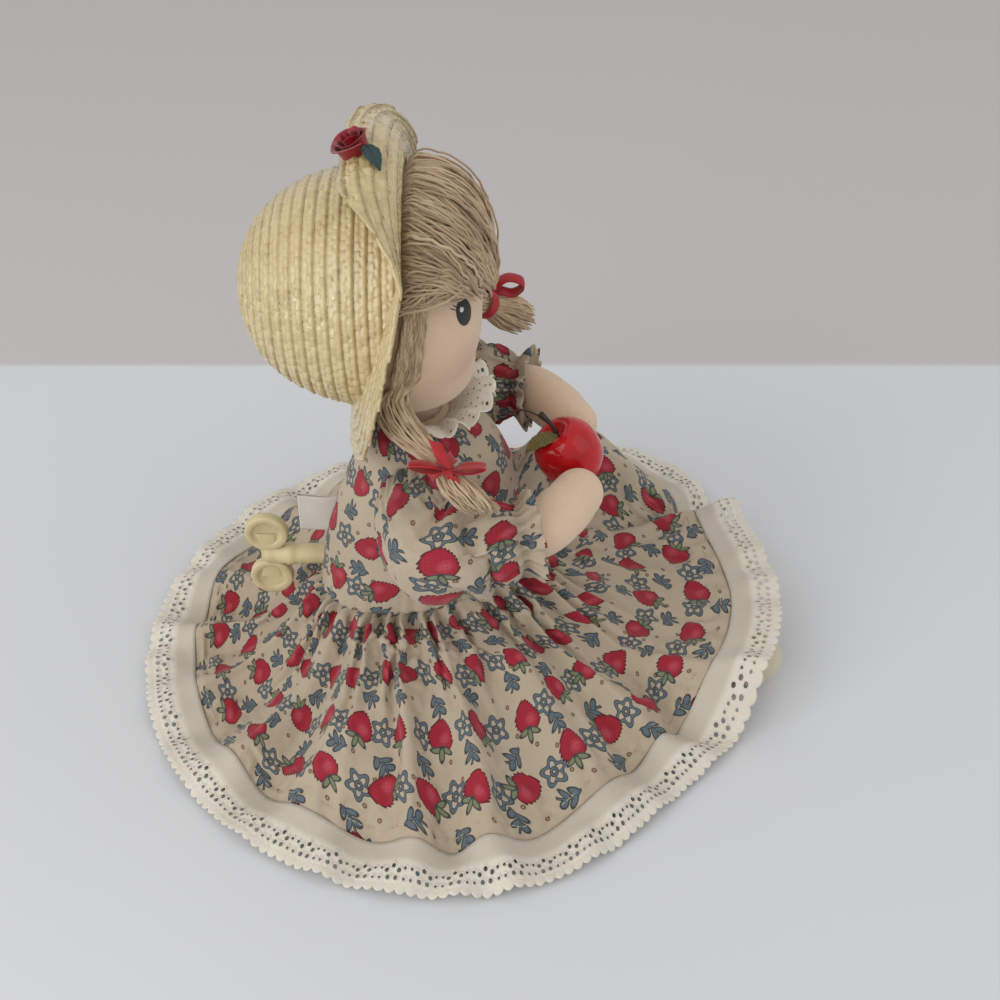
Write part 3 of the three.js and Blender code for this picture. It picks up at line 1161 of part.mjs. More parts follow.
// Winding arbor, drive wheel and key turn together
const keyInnerY = CASE_BACK_Y + SEAM_GAP + 3;
const arborFrontY = driveFaceY - 1;
const arborBackY = keyInnerY + KEY_SOCKET_DEPTH;
add("winding_arbor", rodY(0, KEY_Z, ARBOR_RADIUS, arborFrontY, arborBackY, 16), STEEL);

const crownToothShape = new THREE.Shape();
const pitch = Math.PI * DRIVE_MODULE;
crownToothShape.moveTo(-0.29 * pitch, 0.3);
crownToothShape.lineTo(-0.11 * pitch, -driveTooth);
crownToothShape.lineTo(0.11 * pitch, -driveTooth);
crownToothShape.lineTo(0.29 * pitch, 0.3);
const crownToothSize = { depth: DRIVE_TOOTH_WIDTH, bevelEnabled: false };
const crownTooth = new THREE.ExtrudeGeometry(crownToothShape, crownToothSize);
crownTooth.translate(0, driveFaceY, pinionFromX);
let driveWheel = rodY(0, 0, discRadius, driveFaceY, driveFaceY + DRIVE_DISC, DRIVE_TEETH);
for (let tooth = 0; tooth < DRIVE_TEETH; tooth++) {
  const geometry = crownTooth.clone().rotateY((2 * Math.PI * (tooth + DRIVE_TEETH / 4)) / DRIVE_TEETH);
  driveWheel = driveWheel.add(solid(geometry));
}
const driveBore = rodY(0, 0, ARBOR_RADIUS + SHAFT_GAP, driveFaceY - 2, driveFaceY + DRIVE_DISC + 1, 16);
add("drive_wheel", driveWheel.subtract(driveBore).translate(0, 0, KEY_Z), BRASS);

const lobeZ = KEY_LOBE_SPACING / 2;
const plateThrough = (radius, z, from, to) => rodX(KEY_PLATE_Y, KEY_Z + z, radius, from, to, 18);
const halfKey = KEY_THICKNESS / 2;
let key = rodY(0, KEY_Z, KEY_BARREL_RADIUS, keyInnerY, KEY_PLATE_Y, 12);
key = key.add(block(-halfKey, halfKey, KEY_PLATE_Y - 4, KEY_PLATE_Y + 4, KEY_Z - lobeZ, KEY_Z + lobeZ));
for (const z of [-lobeZ, lobeZ]) {
  key = key.add(plateThrough(KEY_LOBE_RADIUS, z, -halfKey, halfKey));
}
for (const z of [-lobeZ, lobeZ]) {
  key = key.subtract(plateThrough(KEY_DISH_RADIUS, z, halfKey - KEY_DISH_DEPTH, halfKey + 1));
  key = key.subtract(plateThrough(KEY_DISH_RADIUS, z, -halfKey - 1, -halfKey + KEY_DISH_DEPTH));
}
key = key.subtract(rodY(0, KEY_Z, ARBOR_RADIUS + SHAFT_GAP, keyInnerY - 1, arborBackY + SHAFT_GAP, 16));
add("winding_key", key, KEY_CREAM);

// Cylinder: pins of each note raised round the drum; it turns with its pinion and wheel
let cylinder = rodX(axleY, KEY_Z, CYLINDER_RADIUS, cylinderFromX, cylinderToX, 30);
const pinRadius = 0.22;
for (let note = 0; note < NOTE_COUNT; note++) {
  for (let k = 0; k < PINS_PER_NOTE; k++) {
    const angle = 2.4 * (note * PINS_PER_NOTE + k) + 0.9 * k;
    const pin = new THREE.CylinderGeometry(pinRadius, pinRadius, 2 * PIN_HEIGHT, 4);
    pin.translate(cylinderFromX + (note + 0.5) * NOTE_PITCH, CYLINDER_RADIUS, 0);
    pin.rotateX(angle);
    pin.translate(0, axleY, KEY_Z);
    cylinder = cylinder.add(solid(pin));
  }
}
const cylinderBore = rodX(axleY, KEY_Z, axleBore, cylinderFromX - 1, cylinderToX + 1, 12);
add("cylinder", cylinder.subtract(cylinderBore), BRASS);
const axleEndX = rightPostX + POST;
add("cylinder_arbor", rodX(axleY, KEY_Z, AXLE_RADIUS, pinionFromX, axleEndX, 12), STEEL);
const wheelToX = wheelX + WHEEL_WIDTH;
const cylinderPinion = spurX(
  CYLINDER_PINION_TEETH, DRIVE_MODULE, 0.5, pinionFromX, pinionToX, axleY, KEY_Z, axleBore,
);
add("cylinder_pinion", cylinderPinion, NYLON);
const cylinderWheel = spurX(WHEEL_TEETH, WHEEL_MODULE, 0, wheelX, wheelToX, axleY, KEY_Z, axleBore);
add("cylinder_wheel", cylinderWheel, NYLON);

// Train arbor with its pinion and the worm wheel
add("train_arbor", rodX(axleY, trainZ, AXLE_RADIUS, leftPostX, axleEndX, 12), STEEL);
const trainPinion = spurX(
  TRAIN_PINION_TEETH, WHEEL_MODULE, 0.5, wheelX, wheelToX, axleY, trainZ, axleBore,
);
add("train_pinion", trainPinion, NYLON);
const wormWheelHalf = 0.7;
const wormWheel = spurX(
  WORM_WHEEL_TEETH, WORM_MODULE, 0, wormWheelX - wormWheelHalf, wormWheelX + wormWheelHalf,
  axleY, trainZ, axleBore,
);
add("worm_wheel", wormWheel, NYLON);

// Governor: a worm on a thin shaft spins a fan against the air
const wormLead = Math.PI * WORM_MODULE;
const wormHalf = (WORM_LEADS * wormLead) / 2;
const wormRingsPerLead = 6;
const wormSides = 8;
const wormRing = (y) =>
  Array.from({ length: wormSides }, (_, j) => {
    const a = (2 * Math.PI * j) / wormSides;
    const phase = a - (2 * Math.PI * (y - axleY)) / wormLead;
    const r = WORM_ROOT + (WORM_DEPTH / 2) * (1 - Math.cos(phase));
    return vec(wormWheelX + r * Math.sin(a), y, wormZ + r * Math.cos(a));
  });
const wormRings = Array.from({ length: WORM_LEADS * wormRingsPerLead + 1 }, (_, i) =>
  wormRing(axleY - wormHalf + (i * wormLead) / wormRingsPerLead));
const worm = solid(loft(wormRings));
const fanY = axleY - wormHalf - 3;
const shaftFrontY = fanY - FAN_HEIGHT - 1;
const shaft = rodY(wormWheelX, wormZ, WORM_ROOT * 0.8, shaftFrontY, bedBackY, 10);
add("governor_worm", worm.add(shaft), STEEL);
const fanHub = rodY(wormWheelX, wormZ, WORM_ROOT + 1, fanY - FAN_HEIGHT, fanY, 12);
const fanBlades = block(
  wormWheelX - FAN_RADIUS, wormWheelX + FAN_RADIUS, fanY - FAN_HEIGHT, fanY,
  wormZ - FAN_BLADE / 2, wormZ + FAN_BLADE / 2,
);
const fanBore = rodY(wormWheelX, wormZ, WORM_ROOT * 0.8 + SHAFT_GAP, fanY - FAN_HEIGHT - 1, fanY + 1, 10);
add("governor_fan", fanHub.add(fanBlades).subtract(fanBore), NYLON);

const bracketZ = wormZ - FAN_RADIUS - 1.5;
const bracketHalf = 2.4;
const bracketFrontY = shaftFrontY - POST + 0.5;
const bracketFoot = 4;
const bracketBackY = bedFrontY - SEAM_GAP;
const bracketBar = (fromY, toY, toZ) =>
  block(wormWheelX - bracketHalf, wormWheelX + bracketHalf, fromY, toY, bracketZ - POST, toZ);
const wormHole = WORM_ROOT * 0.8 + SHAFT_GAP;
const bracket = bracketBar(bracketFrontY, bracketBackY, bracketZ)
  .add(bracketBar(bracketFrontY, bracketFrontY + POST, wormZ + 2))
  .add(bracketBar(bracketBackY - POST, bracketBackY, bracketZ + bracketFoot))
  .subtract(rodY(wormWheelX, wormZ, wormHole, bracketFrontY - 1, bracketFrontY + POST + 1, 10));
add("governor_bracket", bracket, STEEL);

export default doll;
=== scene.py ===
"""Looks of a seated musical cloth doll: stuffed body, printed dress, yarn hair and straw bonnet."""

import json
import logging
import math
from dataclasses import dataclass, field
from enum import Enum
from typing import Protocol, Sequence

import bmesh
import bpy
import numpy as np
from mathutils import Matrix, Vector
from mathutils.geometry import delaunay_2d_cdt


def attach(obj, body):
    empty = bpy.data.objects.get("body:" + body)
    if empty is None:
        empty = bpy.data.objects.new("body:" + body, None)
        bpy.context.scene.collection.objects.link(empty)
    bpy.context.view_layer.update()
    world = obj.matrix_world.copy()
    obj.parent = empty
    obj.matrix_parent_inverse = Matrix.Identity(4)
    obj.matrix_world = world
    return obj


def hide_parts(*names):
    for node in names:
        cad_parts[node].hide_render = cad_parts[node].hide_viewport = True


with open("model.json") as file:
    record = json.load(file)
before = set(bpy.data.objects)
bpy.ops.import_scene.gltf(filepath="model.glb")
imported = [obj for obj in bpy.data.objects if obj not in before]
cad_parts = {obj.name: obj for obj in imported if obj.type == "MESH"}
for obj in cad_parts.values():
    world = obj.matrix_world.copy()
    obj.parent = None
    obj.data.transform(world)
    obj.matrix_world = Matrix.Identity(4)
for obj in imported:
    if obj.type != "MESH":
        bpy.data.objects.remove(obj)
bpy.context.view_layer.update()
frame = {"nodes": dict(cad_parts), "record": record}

LOG = logging.getLogger("doll")
MM = 0.001
TURN = 2 * math.pi
SEED = 20

UP = (0, 0, 1)

Array = np.ndarray
Pair = tuple[float, float]
Triple = tuple[float, float, float]
Rgb = Triple
Piece = bpy.types.Object
Material = bpy.types.Material
Socket = bpy.types.NodeSocket


# Numbers and curves


def lerp(first: Array, second: Array, share: Array) -> Array:
    """Goes a share of the way from one value to another."""
    return first + (second - first) * share


def smooth(value: Array, low: float, high: float) -> Array:
    """Rises softly from 0 at low to 1 at high."""
    share = np.clip((value - low) / (high - low), 0, 1)
    return share * share * (3 - 2 * share)


def hump(value: Array, width: float) -> Array:
    """Gives a soft hump of height 1 round 0, as wide as asked for."""
    return np.exp(-((value / width) ** 2))


def unit(vectors: Array) -> Array:
    """Gives vectors a length of one."""
    return vectors / np.maximum(np.linalg.norm(vectors, axis=-1, keepdims=True), 1e-9)


def joined(*parts: Array) -> Array:
    """Joins coordinates along a new last axis."""
    return np.stack(np.broadcast_arrays(*parts), axis=-1)


def spline(points: Sequence, count: int, eased: bool = False) -> Array:
    """Draws a smooth curve through points.

    Args:
        points: rows of coordinates or sizes.
        count: how many samples to return.
        eased: keep the end values level instead of running on straight.

    Returns:
        One row for each sample.
    """
    rows = np.asarray(points, float)
    first = rows[0] if eased else 2 * rows[0] - rows[1]
    last = rows[-1] if eased else 2 * rows[-1] - rows[-2]
    full = np.vstack([first, rows, last])
    place = np.linspace(0, len(rows) - 1, count)
    i = np.minimum(place.astype(int), len(rows) - 2)
    f = (place - i)[:, None]
    before, here, after, beyond = full[i], full[i + 1], full[i + 2], full[i + 3]
    bend = 2 * before - 5 * here + 4 * after - beyond
    twist = 3 * (here - after) + beyond - before
    return here + 0.5 * f * (after - before + f * (bend + f * twist))


def frames_along(path: Array, up: Sequence[float]) -> tuple[Array, Array]:
    """Carries a cross direction along a path without twist.

    Args:
        path: points along the middle.
        up: direction that the first section's top leans to.

    Returns:
        The top and side directions at each point.
    """
    tangents = unit(np.gradient(path, axis=0))
    tops = np.empty_like(path)
    top = np.asarray(up, float)
    for i, tangent in enumerate(tangents):
        side = np.cross(tangent, top)
        side /= max(np.linalg.norm(side), 1e-9)
        top = np.cross(side, tangent)
        tops[i] = top
    return tops, np.cross(tangents, tops)


def lengths_along(path: Array) -> Array:
    """Measures a path from its start up to each point."""
    return np.concatenate([[0], np.cumsum(np.linalg.norm(np.diff(path, axis=0), axis=1))])


def rings_round(path: Array, reach: Array, angle: Array, up: Sequence[float] = UP) -> Array:
    """Draws rings square to a path.

    Args:
        path: points along the middle.
        reach: radius in rows and columns, or in rows and one column.
        angle: angles round the path, in radians.
        up: direction that the first section's top leans to.

    Returns:
        Array of rows, columns and X, Y, Z.
    """
    tops, across = frames_along(path, up)
    ring = tops[:, None] * np.cos(angle)[:, None] + across[:, None] * np.sin(angle)[:, None]
    return path[:, None] + ring * reach[..., None]


def metric_uv(points: Array) -> Array:
    """Lays a grid out flat by its own mean lengths.

    Args:
        points: array of rows, columns and X, Y, Z.

    Returns:
        Two lengths for each point.
    """
    across = np.linalg.norm(np.diff(points, axis=1), axis=2).mean(axis=0)
    along = np.linalg.norm(np.diff(points, axis=0), axis=2).mean(axis=1)
    u = np.concatenate([[0], np.cumsum(across)])
    v = np.concatenate([[0], np.cumsum(along)])
    return np.stack(np.meshgrid(u, v), axis=-1)


# Meshes


class Finish(Protocol):
    """What a piece is made of."""

    def material(self) -> Material:
        """Builds the material."""


class Draft:
    """Collects surfaces in millimetres and makes one mesh object of them in metres."""

    def __init__(self) -> None:
        """Starts with nothing drawn."""
        self.points: list[Array] = []
        self.uvs: list[Array] = []
        self.shades: list[Array] = []
        self.faces: list[Array] = []
        self.count = 0

    def loose(self, points: Array, faces: Sequence, uv: Array, shade: Array | float = 0.5) -> None:
        """Adds points with their own faces.

        Args:
            points: rows of X, Y and Z.
            faces: point numbers, one row for each face.
            uv: position on the flat cloth, in millimetres.
            shade: light or dark share of each point.
        """
        self.faces.append(np.asarray(faces) + self.count)
        self.points.append(points)
        self.uvs.append(uv)
        self.shades.append(np.broadcast_to(shade, len(points)))
        self.count += len(points)

    def grid(self, points: Array, uv: Array | None = None, shade: Array | float = 0.5,
             keep: Array | None = None) -> None:
        """Adds a surface of rows and columns.

        Args:
            points: array of rows, columns, and X, Y, Z.
            uv: two lengths on the flat cloth for each point, or None to lay it out by its own lengths.
            shade: light or dark share, one number or one for each point.
            keep: which of the cells stay, or all of them.
        """
        rows, columns = points.shape[:2]
        corner = np.arange(rows * columns).reshape(rows, columns)
        cells = np.stack([corner[:-1, :-1], corner[:-1, 1:], corner[1:, 1:], corner[1:, :-1]], axis=-1)
        chosen = cells.reshape(-1, 4) if keep is None else cells[keep]
        flat = metric_uv(points) if uv is None else uv
        flat_shade = np.broadcast_to(shade, (rows, columns)).reshape(-1)
        self.loose(points.reshape(-1, 3), chosen, flat.reshape(-1, 2), flat_shade)

    def tube(self, path: Array, radii: Array, sides: int, up: Sequence[float] = UP, shade: float = 0.5,
             lobes: int = 0, pitch: float = 8.0, depth: float = 0.0) -> None:
        """Adds a round strand along a path, closed at both ends.

        Args:
            path: points along the middle.
            radii: radius at each point.
            sides: points round it.
            up: direction that the first section's top leans to.
            shade: light or dark share of the whole strand.
            lobes: how many plies show round it.
            pitch: length of one turn of the plies.
            depth: how deep the grooves between plies are, as a share of the radius.
        """
        run = lengths_along(path)
        angle = np.linspace(0, TURN, sides + 1)
        grooves = 1 - depth * (0.5 - 0.5 * np.cos(lobes * (angle[None] - TURN * run[:, None] / pitch)))
        rings = rings_round(path, np.asarray(radii)[:, None] * grooves, angle, up)
        ends = [np.repeat(path[[k]], sides + 1, axis=0)[None] for k in (0, -1)]
        run = np.concatenate([run[:1], run, run[-1:]])
        uv = joined(angle[None] * float(np.mean(radii)), run[:, None])
        self.grid(np.concatenate([ends[0], rings, ends[1]]), uv, shade)

    def build(self, name: str, finish: Finish, weld: float = 0.002) -> Piece:
        """Makes the mesh object.

        Args:
            name: the object's name.
            finish: what it is made of.
            weld: points nearer than this, in millimetres, are joined.

        Returns:
            The new object, in the scene.
        """
        points = np.concatenate(self.points) * MM
        uv = np.concatenate(self.uvs) * MM
        shade = np.concatenate(self.shades).astype(np.float32)
        corner = np.concatenate([part.ravel() for part in self.faces]).astype(np.int32)
        sizes = np.concatenate([np.full(len(part), part.shape[1]) for part in self.faces])
        mesh = bpy.data.meshes.new(name)
        mesh.vertices.add(len(points))
        mesh.vertices.foreach_set("co", points.astype(np.float32).ravel())
        mesh.loops.add(len(corner))
        mesh.loops.foreach_set("vertex_index", corner)
        mesh.polygons.add(len(sizes))
        mesh.polygons.foreach_set("loop_start", (np.cumsum(sizes) - sizes).astype(np.int32))
        mesh.update(calc_edges=True)
        layer = mesh.uv_layers.new(name="flat")
        layer.data.foreach_set("uv", uv[corner].astype(np.float32).ravel())
        mesh.attributes.new("shade", "FLOAT", "POINT").data.foreach_set("value", shade)
        edit = bmesh.new()
        edit.from_mesh(mesh)
        bmesh.ops.remove_doubles(edit, verts=edit.verts, dist=weld * MM)
        loose_points = [point for point in edit.verts if not point.link_faces]
        bmesh.ops.delete(edit, geom=loose_points, context="VERTS")
        edit.to_mesh(mesh)
        edit.free()
        mesh.shade_smooth()
        mesh.materials.append(finish.material())
        piece = bpy.data.objects.new(name, mesh)
        bpy.context.scene.collection.objects.link(piece)
        LOG.info("made %s: %d faces", name, len(mesh.polygons))
        return piece


def surface(name: str, finish: Finish, points: Array, uv: Array | None = None, shade: Array | float = 0.5,
            keep: Array | None = None) -> Piece:
    """Makes a piece of one surface of rows and columns.

    Args:
        name: the piece's name.
        finish: what it is made of.
        points: array of rows, columns and X, Y, Z.
        uv: place on the flat cloth, or None to lay it out by its own lengths.
        shade: light or dark share of each point.
        keep: which of the cells stay, or all of them.

    Returns:
        The new object, in the scene.
    """
    draft = Draft()
    draft.grid(points, uv, shade, keep)
    return draft.build(name, finish)


def thicken(piece: Piece, thickness: float, offset: float = -1.0) -> None:
    """Gives a sheet its thickness.

    Args:
        piece: the sheet.
        thickness: in millimetres.
        offset: -1 grows inwards, 1 outwards, 0 both ways.
    """
    shell = piece.modifiers.new("thickness", "SOLIDIFY")
    shell.thickness = thickness * MM
    shell.offset = offset
    shell.use_even_offset = False


def soften(piece: Piece) -> None:
    """Rounds a mesh off by subdividing it once."""
    rounding = piece.modifiers.new("rounding", "SUBSURF")
    rounding.levels = rounding.render_levels = 1


CLOTH_OPTIONS = {
    "quality": 6, "mass": 0.15, "tension_stiffness": 12, "compression_stiffness": 12, "shear_stiffness": 6,
    "bending_stiffness": 0.08, "vertex_group_mass": "held",
}


def settle(fine: Array, held: Array, coarse: tuple[int, int], growth: float, pressure: float, cap: float,
           weight: float = 0.0, steps: int = 18) -> Array:
    """Lets a closed band of cloth buckle and fill under Blender's cloth simulation.

    Args:
        fine: the drawn cloth as rows, columns and X, Y, Z, its last column on its first.
        held: how firmly each row is held, 0 to 1.
        coarse: rows and columns of the simulated cloth.
        growth: how much bigger the cloth is than its drawn shape, as a share.
        pressure: pressure of the stuffing.
        cap: furthest that a point may move, in millimetres.
        weight: share of gravity.
        steps: frames to run.

    Returns:
        The settled cloth, in the same rows and columns.
    """
    rows, columns = fine.shape[:2]
    i = np.linspace(0, rows - 1, coarse[0]).round().astype(int)
    j = np.linspace(0, columns - 1, coarse[1] + 1).round().astype(int)
    before = fine[np.ix_(i, j[:-1])].reshape(-1, 3)
    corner = np.arange(len(before)).reshape(coarse)
    following = np.roll(corner, -1, axis=1)
    faces = np.stack([corner[:-1], following[:-1], following[1:], corner[1:]], axis=-1).reshape(-1, 4)
    mesh = bpy.data.meshes.new("trial")
    mesh.from_pydata((before * MM).tolist(), [], faces.tolist())
    trial = bpy.data.objects.new("trial", mesh)
    bpy.context.scene.collection.objects.link(trial)
    group = trial.vertex_groups.new(name="held")
    for row, share in zip(corner, held[i]):
        group.add(row.tolist(), float(share), "REPLACE")
    cloth = trial.modifiers.new("cloth", "CLOTH")
    loads = {"shrink_min": -growth, "use_pressure": pressure != 0, "uniform_pressure_force": pressure}
    for name, value in (CLOTH_OPTIONS | loads).items():
        setattr(cloth.settings, name, value)
    cloth.settings.effector_weights.gravity = weight
    cloth.collision_settings.use_collision = False
    cloth.point_cache.frame_end = steps
    for step in range(1, steps + 1):
        bpy.context.scene.frame_set(step)
    shaped = trial.evaluated_get(bpy.context.evaluated_depsgraph_get())
    after = np.empty(before.size, np.float32)
    shaped.data.vertices.foreach_get("co", after)
    move = after.reshape(-1, 3) / MM - before
    bpy.data.objects.remove(trial)
    bpy.context.scene.frame_set(1)
    far = np.linalg.norm(move, axis=1, keepdims=True)
    LOG.info("settled cloth: moved %.1f mm on average", float(far.mean()))
    move = (move * np.minimum(1, cap / np.maximum(far, 1e-9))).reshape(*coarse, 3)
    move = np.concatenate([move, move[:, :1]], axis=1)
    wide = spline(move.transpose(1, 0, 2).reshape(coarse[1] + 1, -1), columns)
    tall = wide.reshape(columns, coarse[0], 3).transpose(1, 0, 2).reshape(coarse[0], -1)
    return fine + spline(tall, rows).reshape(rows, columns, 3)


def place(piece: Piece, body: str, slot: str, *nodes: str) -> None:
    """Fixes a piece to its moving body and lets it stand for solids of the frame.

    Args:
        piece: the new piece.
        body: body that it moves with.
        slot: material slot of the record; not used.
        nodes: solids that it stands for.
    """
    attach(piece, body)
    if nodes:
        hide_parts(*nodes)
    LOG.info("placed %s on %s", piece.name, body)


# Node graphs


class Field:
    """A number that varies over a surface; arithmetic on it adds nodes."""

    def __init__(self, graph: "Graph", socket: Socket) -> None:
        """Wraps a node's output."""
        self.graph = graph
        self.socket = socket

    def __add__(self, other: "Number") -> "Field":
        """Adds a number."""
        return self.graph.math("ADD", self, other)

    def __sub__(self, other: "Number") -> "Field":
        """Takes a number off."""
        return self.graph.math("SUBTRACT", self, other)

    def __rsub__(self, other: float) -> "Field":
        """Takes this off a number."""
        return self.graph.math("SUBTRACT", other, self)

    def __mul__(self, other: "Number") -> "Field":
        """Multiplies by a number."""
        return self.graph.math("MULTIPLY", self, other)

    def __truediv__(self, other: "Number") -> "Field":
        """Divides by a number."""
        return self.graph.math("DIVIDE", self, other)

    def __abs__(self) -> "Field":
        """Gives the size without its sign."""
        return self.graph.math("ABSOLUTE", self)

    __radd__ = __add__
    __rmul__ = __mul__

    def floor(self) -> "Field":
        """Rounds down."""
        return self.graph.math("FLOOR", self)

    def sine(self) -> "Field":
        """Gives the sine of an angle in radians."""
        return self.graph.math("SINE", self)

    def cosine(self) -> "Field":
        """Gives the cosine of an angle in radians."""
        return self.graph.math("COSINE", self)

    def root(self) -> "Field":
        """Gives the square root."""
        return self.graph.math("SQRT", self)

    def most(self, other: "Number") -> "Field":
        """Gives the larger of two numbers."""
        return self.graph.math("MAXIMUM", self, other)

    def least(self, other: "Number") -> "Field":
        """Gives the smaller of two numbers."""
        return self.graph.math("MINIMUM", self, other)

    def below(self, limit: "Number", blur: float) -> "Field":
        """Gives 1 where the number is under a limit and 0 over it, with a soft edge as wide as the blur."""
        inputs = (self - limit, -blur, blur, 1.0, 0.0)
        return self.graph.result("ShaderNodeMapRange", *inputs, interpolation_type="SMOOTHSTEP")

    def paint(self, under: object, over: object) -> Socket:
        """Lays one colour over another where this number is 1.

        Args:
            under: a colour or output, which shows at 0.
            over: a colour or output, which shows at 1.

        Returns:
            The mixed colour's output.
        """
        node = self.graph.add("ShaderNodeMix", self, data_type="RGBA")
        self.graph.put(node.inputs[6], under)
        self.graph.put(node.inputs[7], over)
        return node.outputs[2]


Number = Field | float


class Graph:
    """A material's node tree, with short calls for the nodes that the finishes use."""

    def __init__(self, name: str, roughness: float, **constants: float) -> None:
        """Starts a material.

        Args:
            name: the material's name.
            roughness: plain roughness.
            constants: values of the shader's own sockets, with _ for spaces.
        """
        self.material = bpy.data.materials.new(name)
        self.material.use_nodes = True
        self.tree = self.material.node_tree
        self.tree.nodes.clear()
        self.shader = self.add("ShaderNodeBsdfPrincipled")
        output = self.add("ShaderNodeOutputMaterial")
        self.tree.links.new(self.shader.outputs[0], output.inputs[0])
        self.shader.inputs["Roughness"].default_value = roughness
        for key, value in constants.items():
            self.shader.inputs[key.replace("_", " ")].default_value = value

    def add(self, kind: str, *values: object, **settings: object) -> bpy.types.Node:
        """Adds a node.

        Args:
            kind: its type.
            values: its first inputs, in order.
            settings: its options.

        Returns:
            The node.
        """
        node = self.tree.nodes.new(kind)
        for key, value in settings.items():
            setattr(node, key, value)
        for socket, value in zip(node.inputs, values):
            self.put(socket, value)
        return node

    def result(self, kind: str, *values: object, **settings: object) -> Field:
        """Adds a node, like add, and gives its first output as a number."""
        return Field(self, self.add(kind, *values, **settings).outputs[0])

    def put(self, socket: Socket, value: object) -> None:
        """Links or sets an input.

        Args:
            socket: the input.
            value: a field, an output, a number or a colour.
        """
        if isinstance(value, Field):
            self.tree.links.new(value.socket, socket)
        elif isinstance(value, Socket):
            self.tree.links.new(value, socket)
        elif isinstance(value, tuple):
            socket.default_value = (*linear(value), 1.0)
        else:
            socket.default_value = value

    def math(self, operation: str, *values: Number) -> Field:
        """Adds a Math node and gives its result."""
        return self.result("ShaderNodeMath", *values, operation=operation)

    def vector(self, x: Number, y: Number, z: Number = 0.0) -> Socket:
        """Joins three numbers."""
        return self.add("ShaderNodeCombineXYZ", x, y, z).outputs[0]

    def split(self, socket: Socket, scale: float = 1.0) -> tuple[Field, ...]:
        """Splits a vector into three numbers and multiplies each by a scale."""
        parts = self.add("ShaderNodeSeparateXYZ", socket).outputs
        return tuple(Field(self, part) * scale for part in parts)

    def flat(self) -> tuple[Field, Field]:
        """Gives the place on the flat cloth, in millimetres."""
        u, v, _ = self.split(self.add("ShaderNodeTexCoord").outputs["UV"], 1 / MM)
        return u, v

    def spot(self) -> tuple[Field, ...]:
        """Gives the place in the object, in millimetres."""
        return self.split(self.add("ShaderNodeTexCoord").outputs["Object"], 1 / MM)

    def shade(self) -> Field:
        """Gives the light or dark share stored in the mesh."""
        return Field(self, self.add("ShaderNodeAttribute", attribute_name="shade").outputs["Fac"])

    def noise(self, where: Socket, scale: float, detail: float = 2.0) -> Field:
        """Gives soft random variation from 0 to 1, with scale patches for each millimetre."""
        return self.result("ShaderNodeTexNoise", where, 0.0, scale, detail)

    def dice(self, column: Field, row: Field, seed: float) -> tuple[Field, ...]:
        """Throws three random numbers, 0 to 1, for a cell."""
        node = self.add("ShaderNodeTexWhiteNoise", self.vector(column, row, seed), noise_dimensions="3D")
        return self.split(node.outputs["Color"])

    def bright(self, colour: object, factor: Number) -> Socket:
        """Makes a colour lighter or darker.

        Args:
            colour: a colour or output.
            factor: what it is multiplied by.

        Returns:
            The new colour's output.
        """
        node = self.add("ShaderNodeMix", 1.0, data_type="RGBA", blend_type="MULTIPLY")
        grey = self.add("ShaderNodeCombineColor", factor, factor, factor)
        self.put(node.inputs[6], colour)
        self.put(node.inputs[7], grey.outputs[0])
        return node.outputs[2]

    def done(self, colour: object, height: Field | None = None, roughness: Field | None = None) -> Material:
        """Connects colour and relief.

        Args:
            colour: a colour or output.
            height: relief in millimetres.
            roughness: varying roughness.

        Returns:
            The finished material.
        """
        self.put(self.shader.inputs["Base Color"], colour)
        if height is not None:
            bump = self.add("ShaderNodeBump")
            bump.inputs["Distance"].default_value = MM
            self.put(bump.inputs["Height"], height)
            self.put(self.shader.inputs["Normal"], bump.outputs[0])
        if roughness is not None:
            self.put(self.shader.inputs["Roughness"], roughness)
        return self.material


def linear(colour: Sequence[float]) -> Rgb:
    """Turns a screen colour of 0 to 255 into the renderer's light values.

    Args:
        colour: red, green and blue.

    Returns:
        Red, green and blue from 0 to 1.
    """
    shares = (value / 255 for value in colour)
    red, green, blue = (s / 12.92 if s <= 0.04045 else ((s + 0.055) / 1.055) ** 2.4 for s in shares)
    return red, green, blue


# Finishes


def weave(u: Field, v: Field, pitch: float, depth: float) -> Field:
    """Draws a plain weave's relief from the distance between its threads and their height."""
    turn = TURN / (2 * pitch)
    return (u * turn).sine() * (v * turn).sine() * depth


def oval(x: Field, y: Field, middle: Pair, size: Pair, turn: float = 0.0) -> Field:
    """Measures an oval.

    Args:
        x: place across.
        y: place along.
        middle: the oval's middle.
        size: its half sizes.
        turn: its angle in degrees.

    Returns:
        Distance from its outline in millimetres, less than 0 inside.
    """
    cosine, sine = math.cos(math.radians(turn)), math.sin(math.radians(turn))
    right, up = x - middle[0], y - middle[1]
    along = (right * cosine + up * sine) / size[0]
    aside = (up * cosine - right * sine) / size[1]
    return ((along * along + aside * aside).root() - 1.0) * min(size)


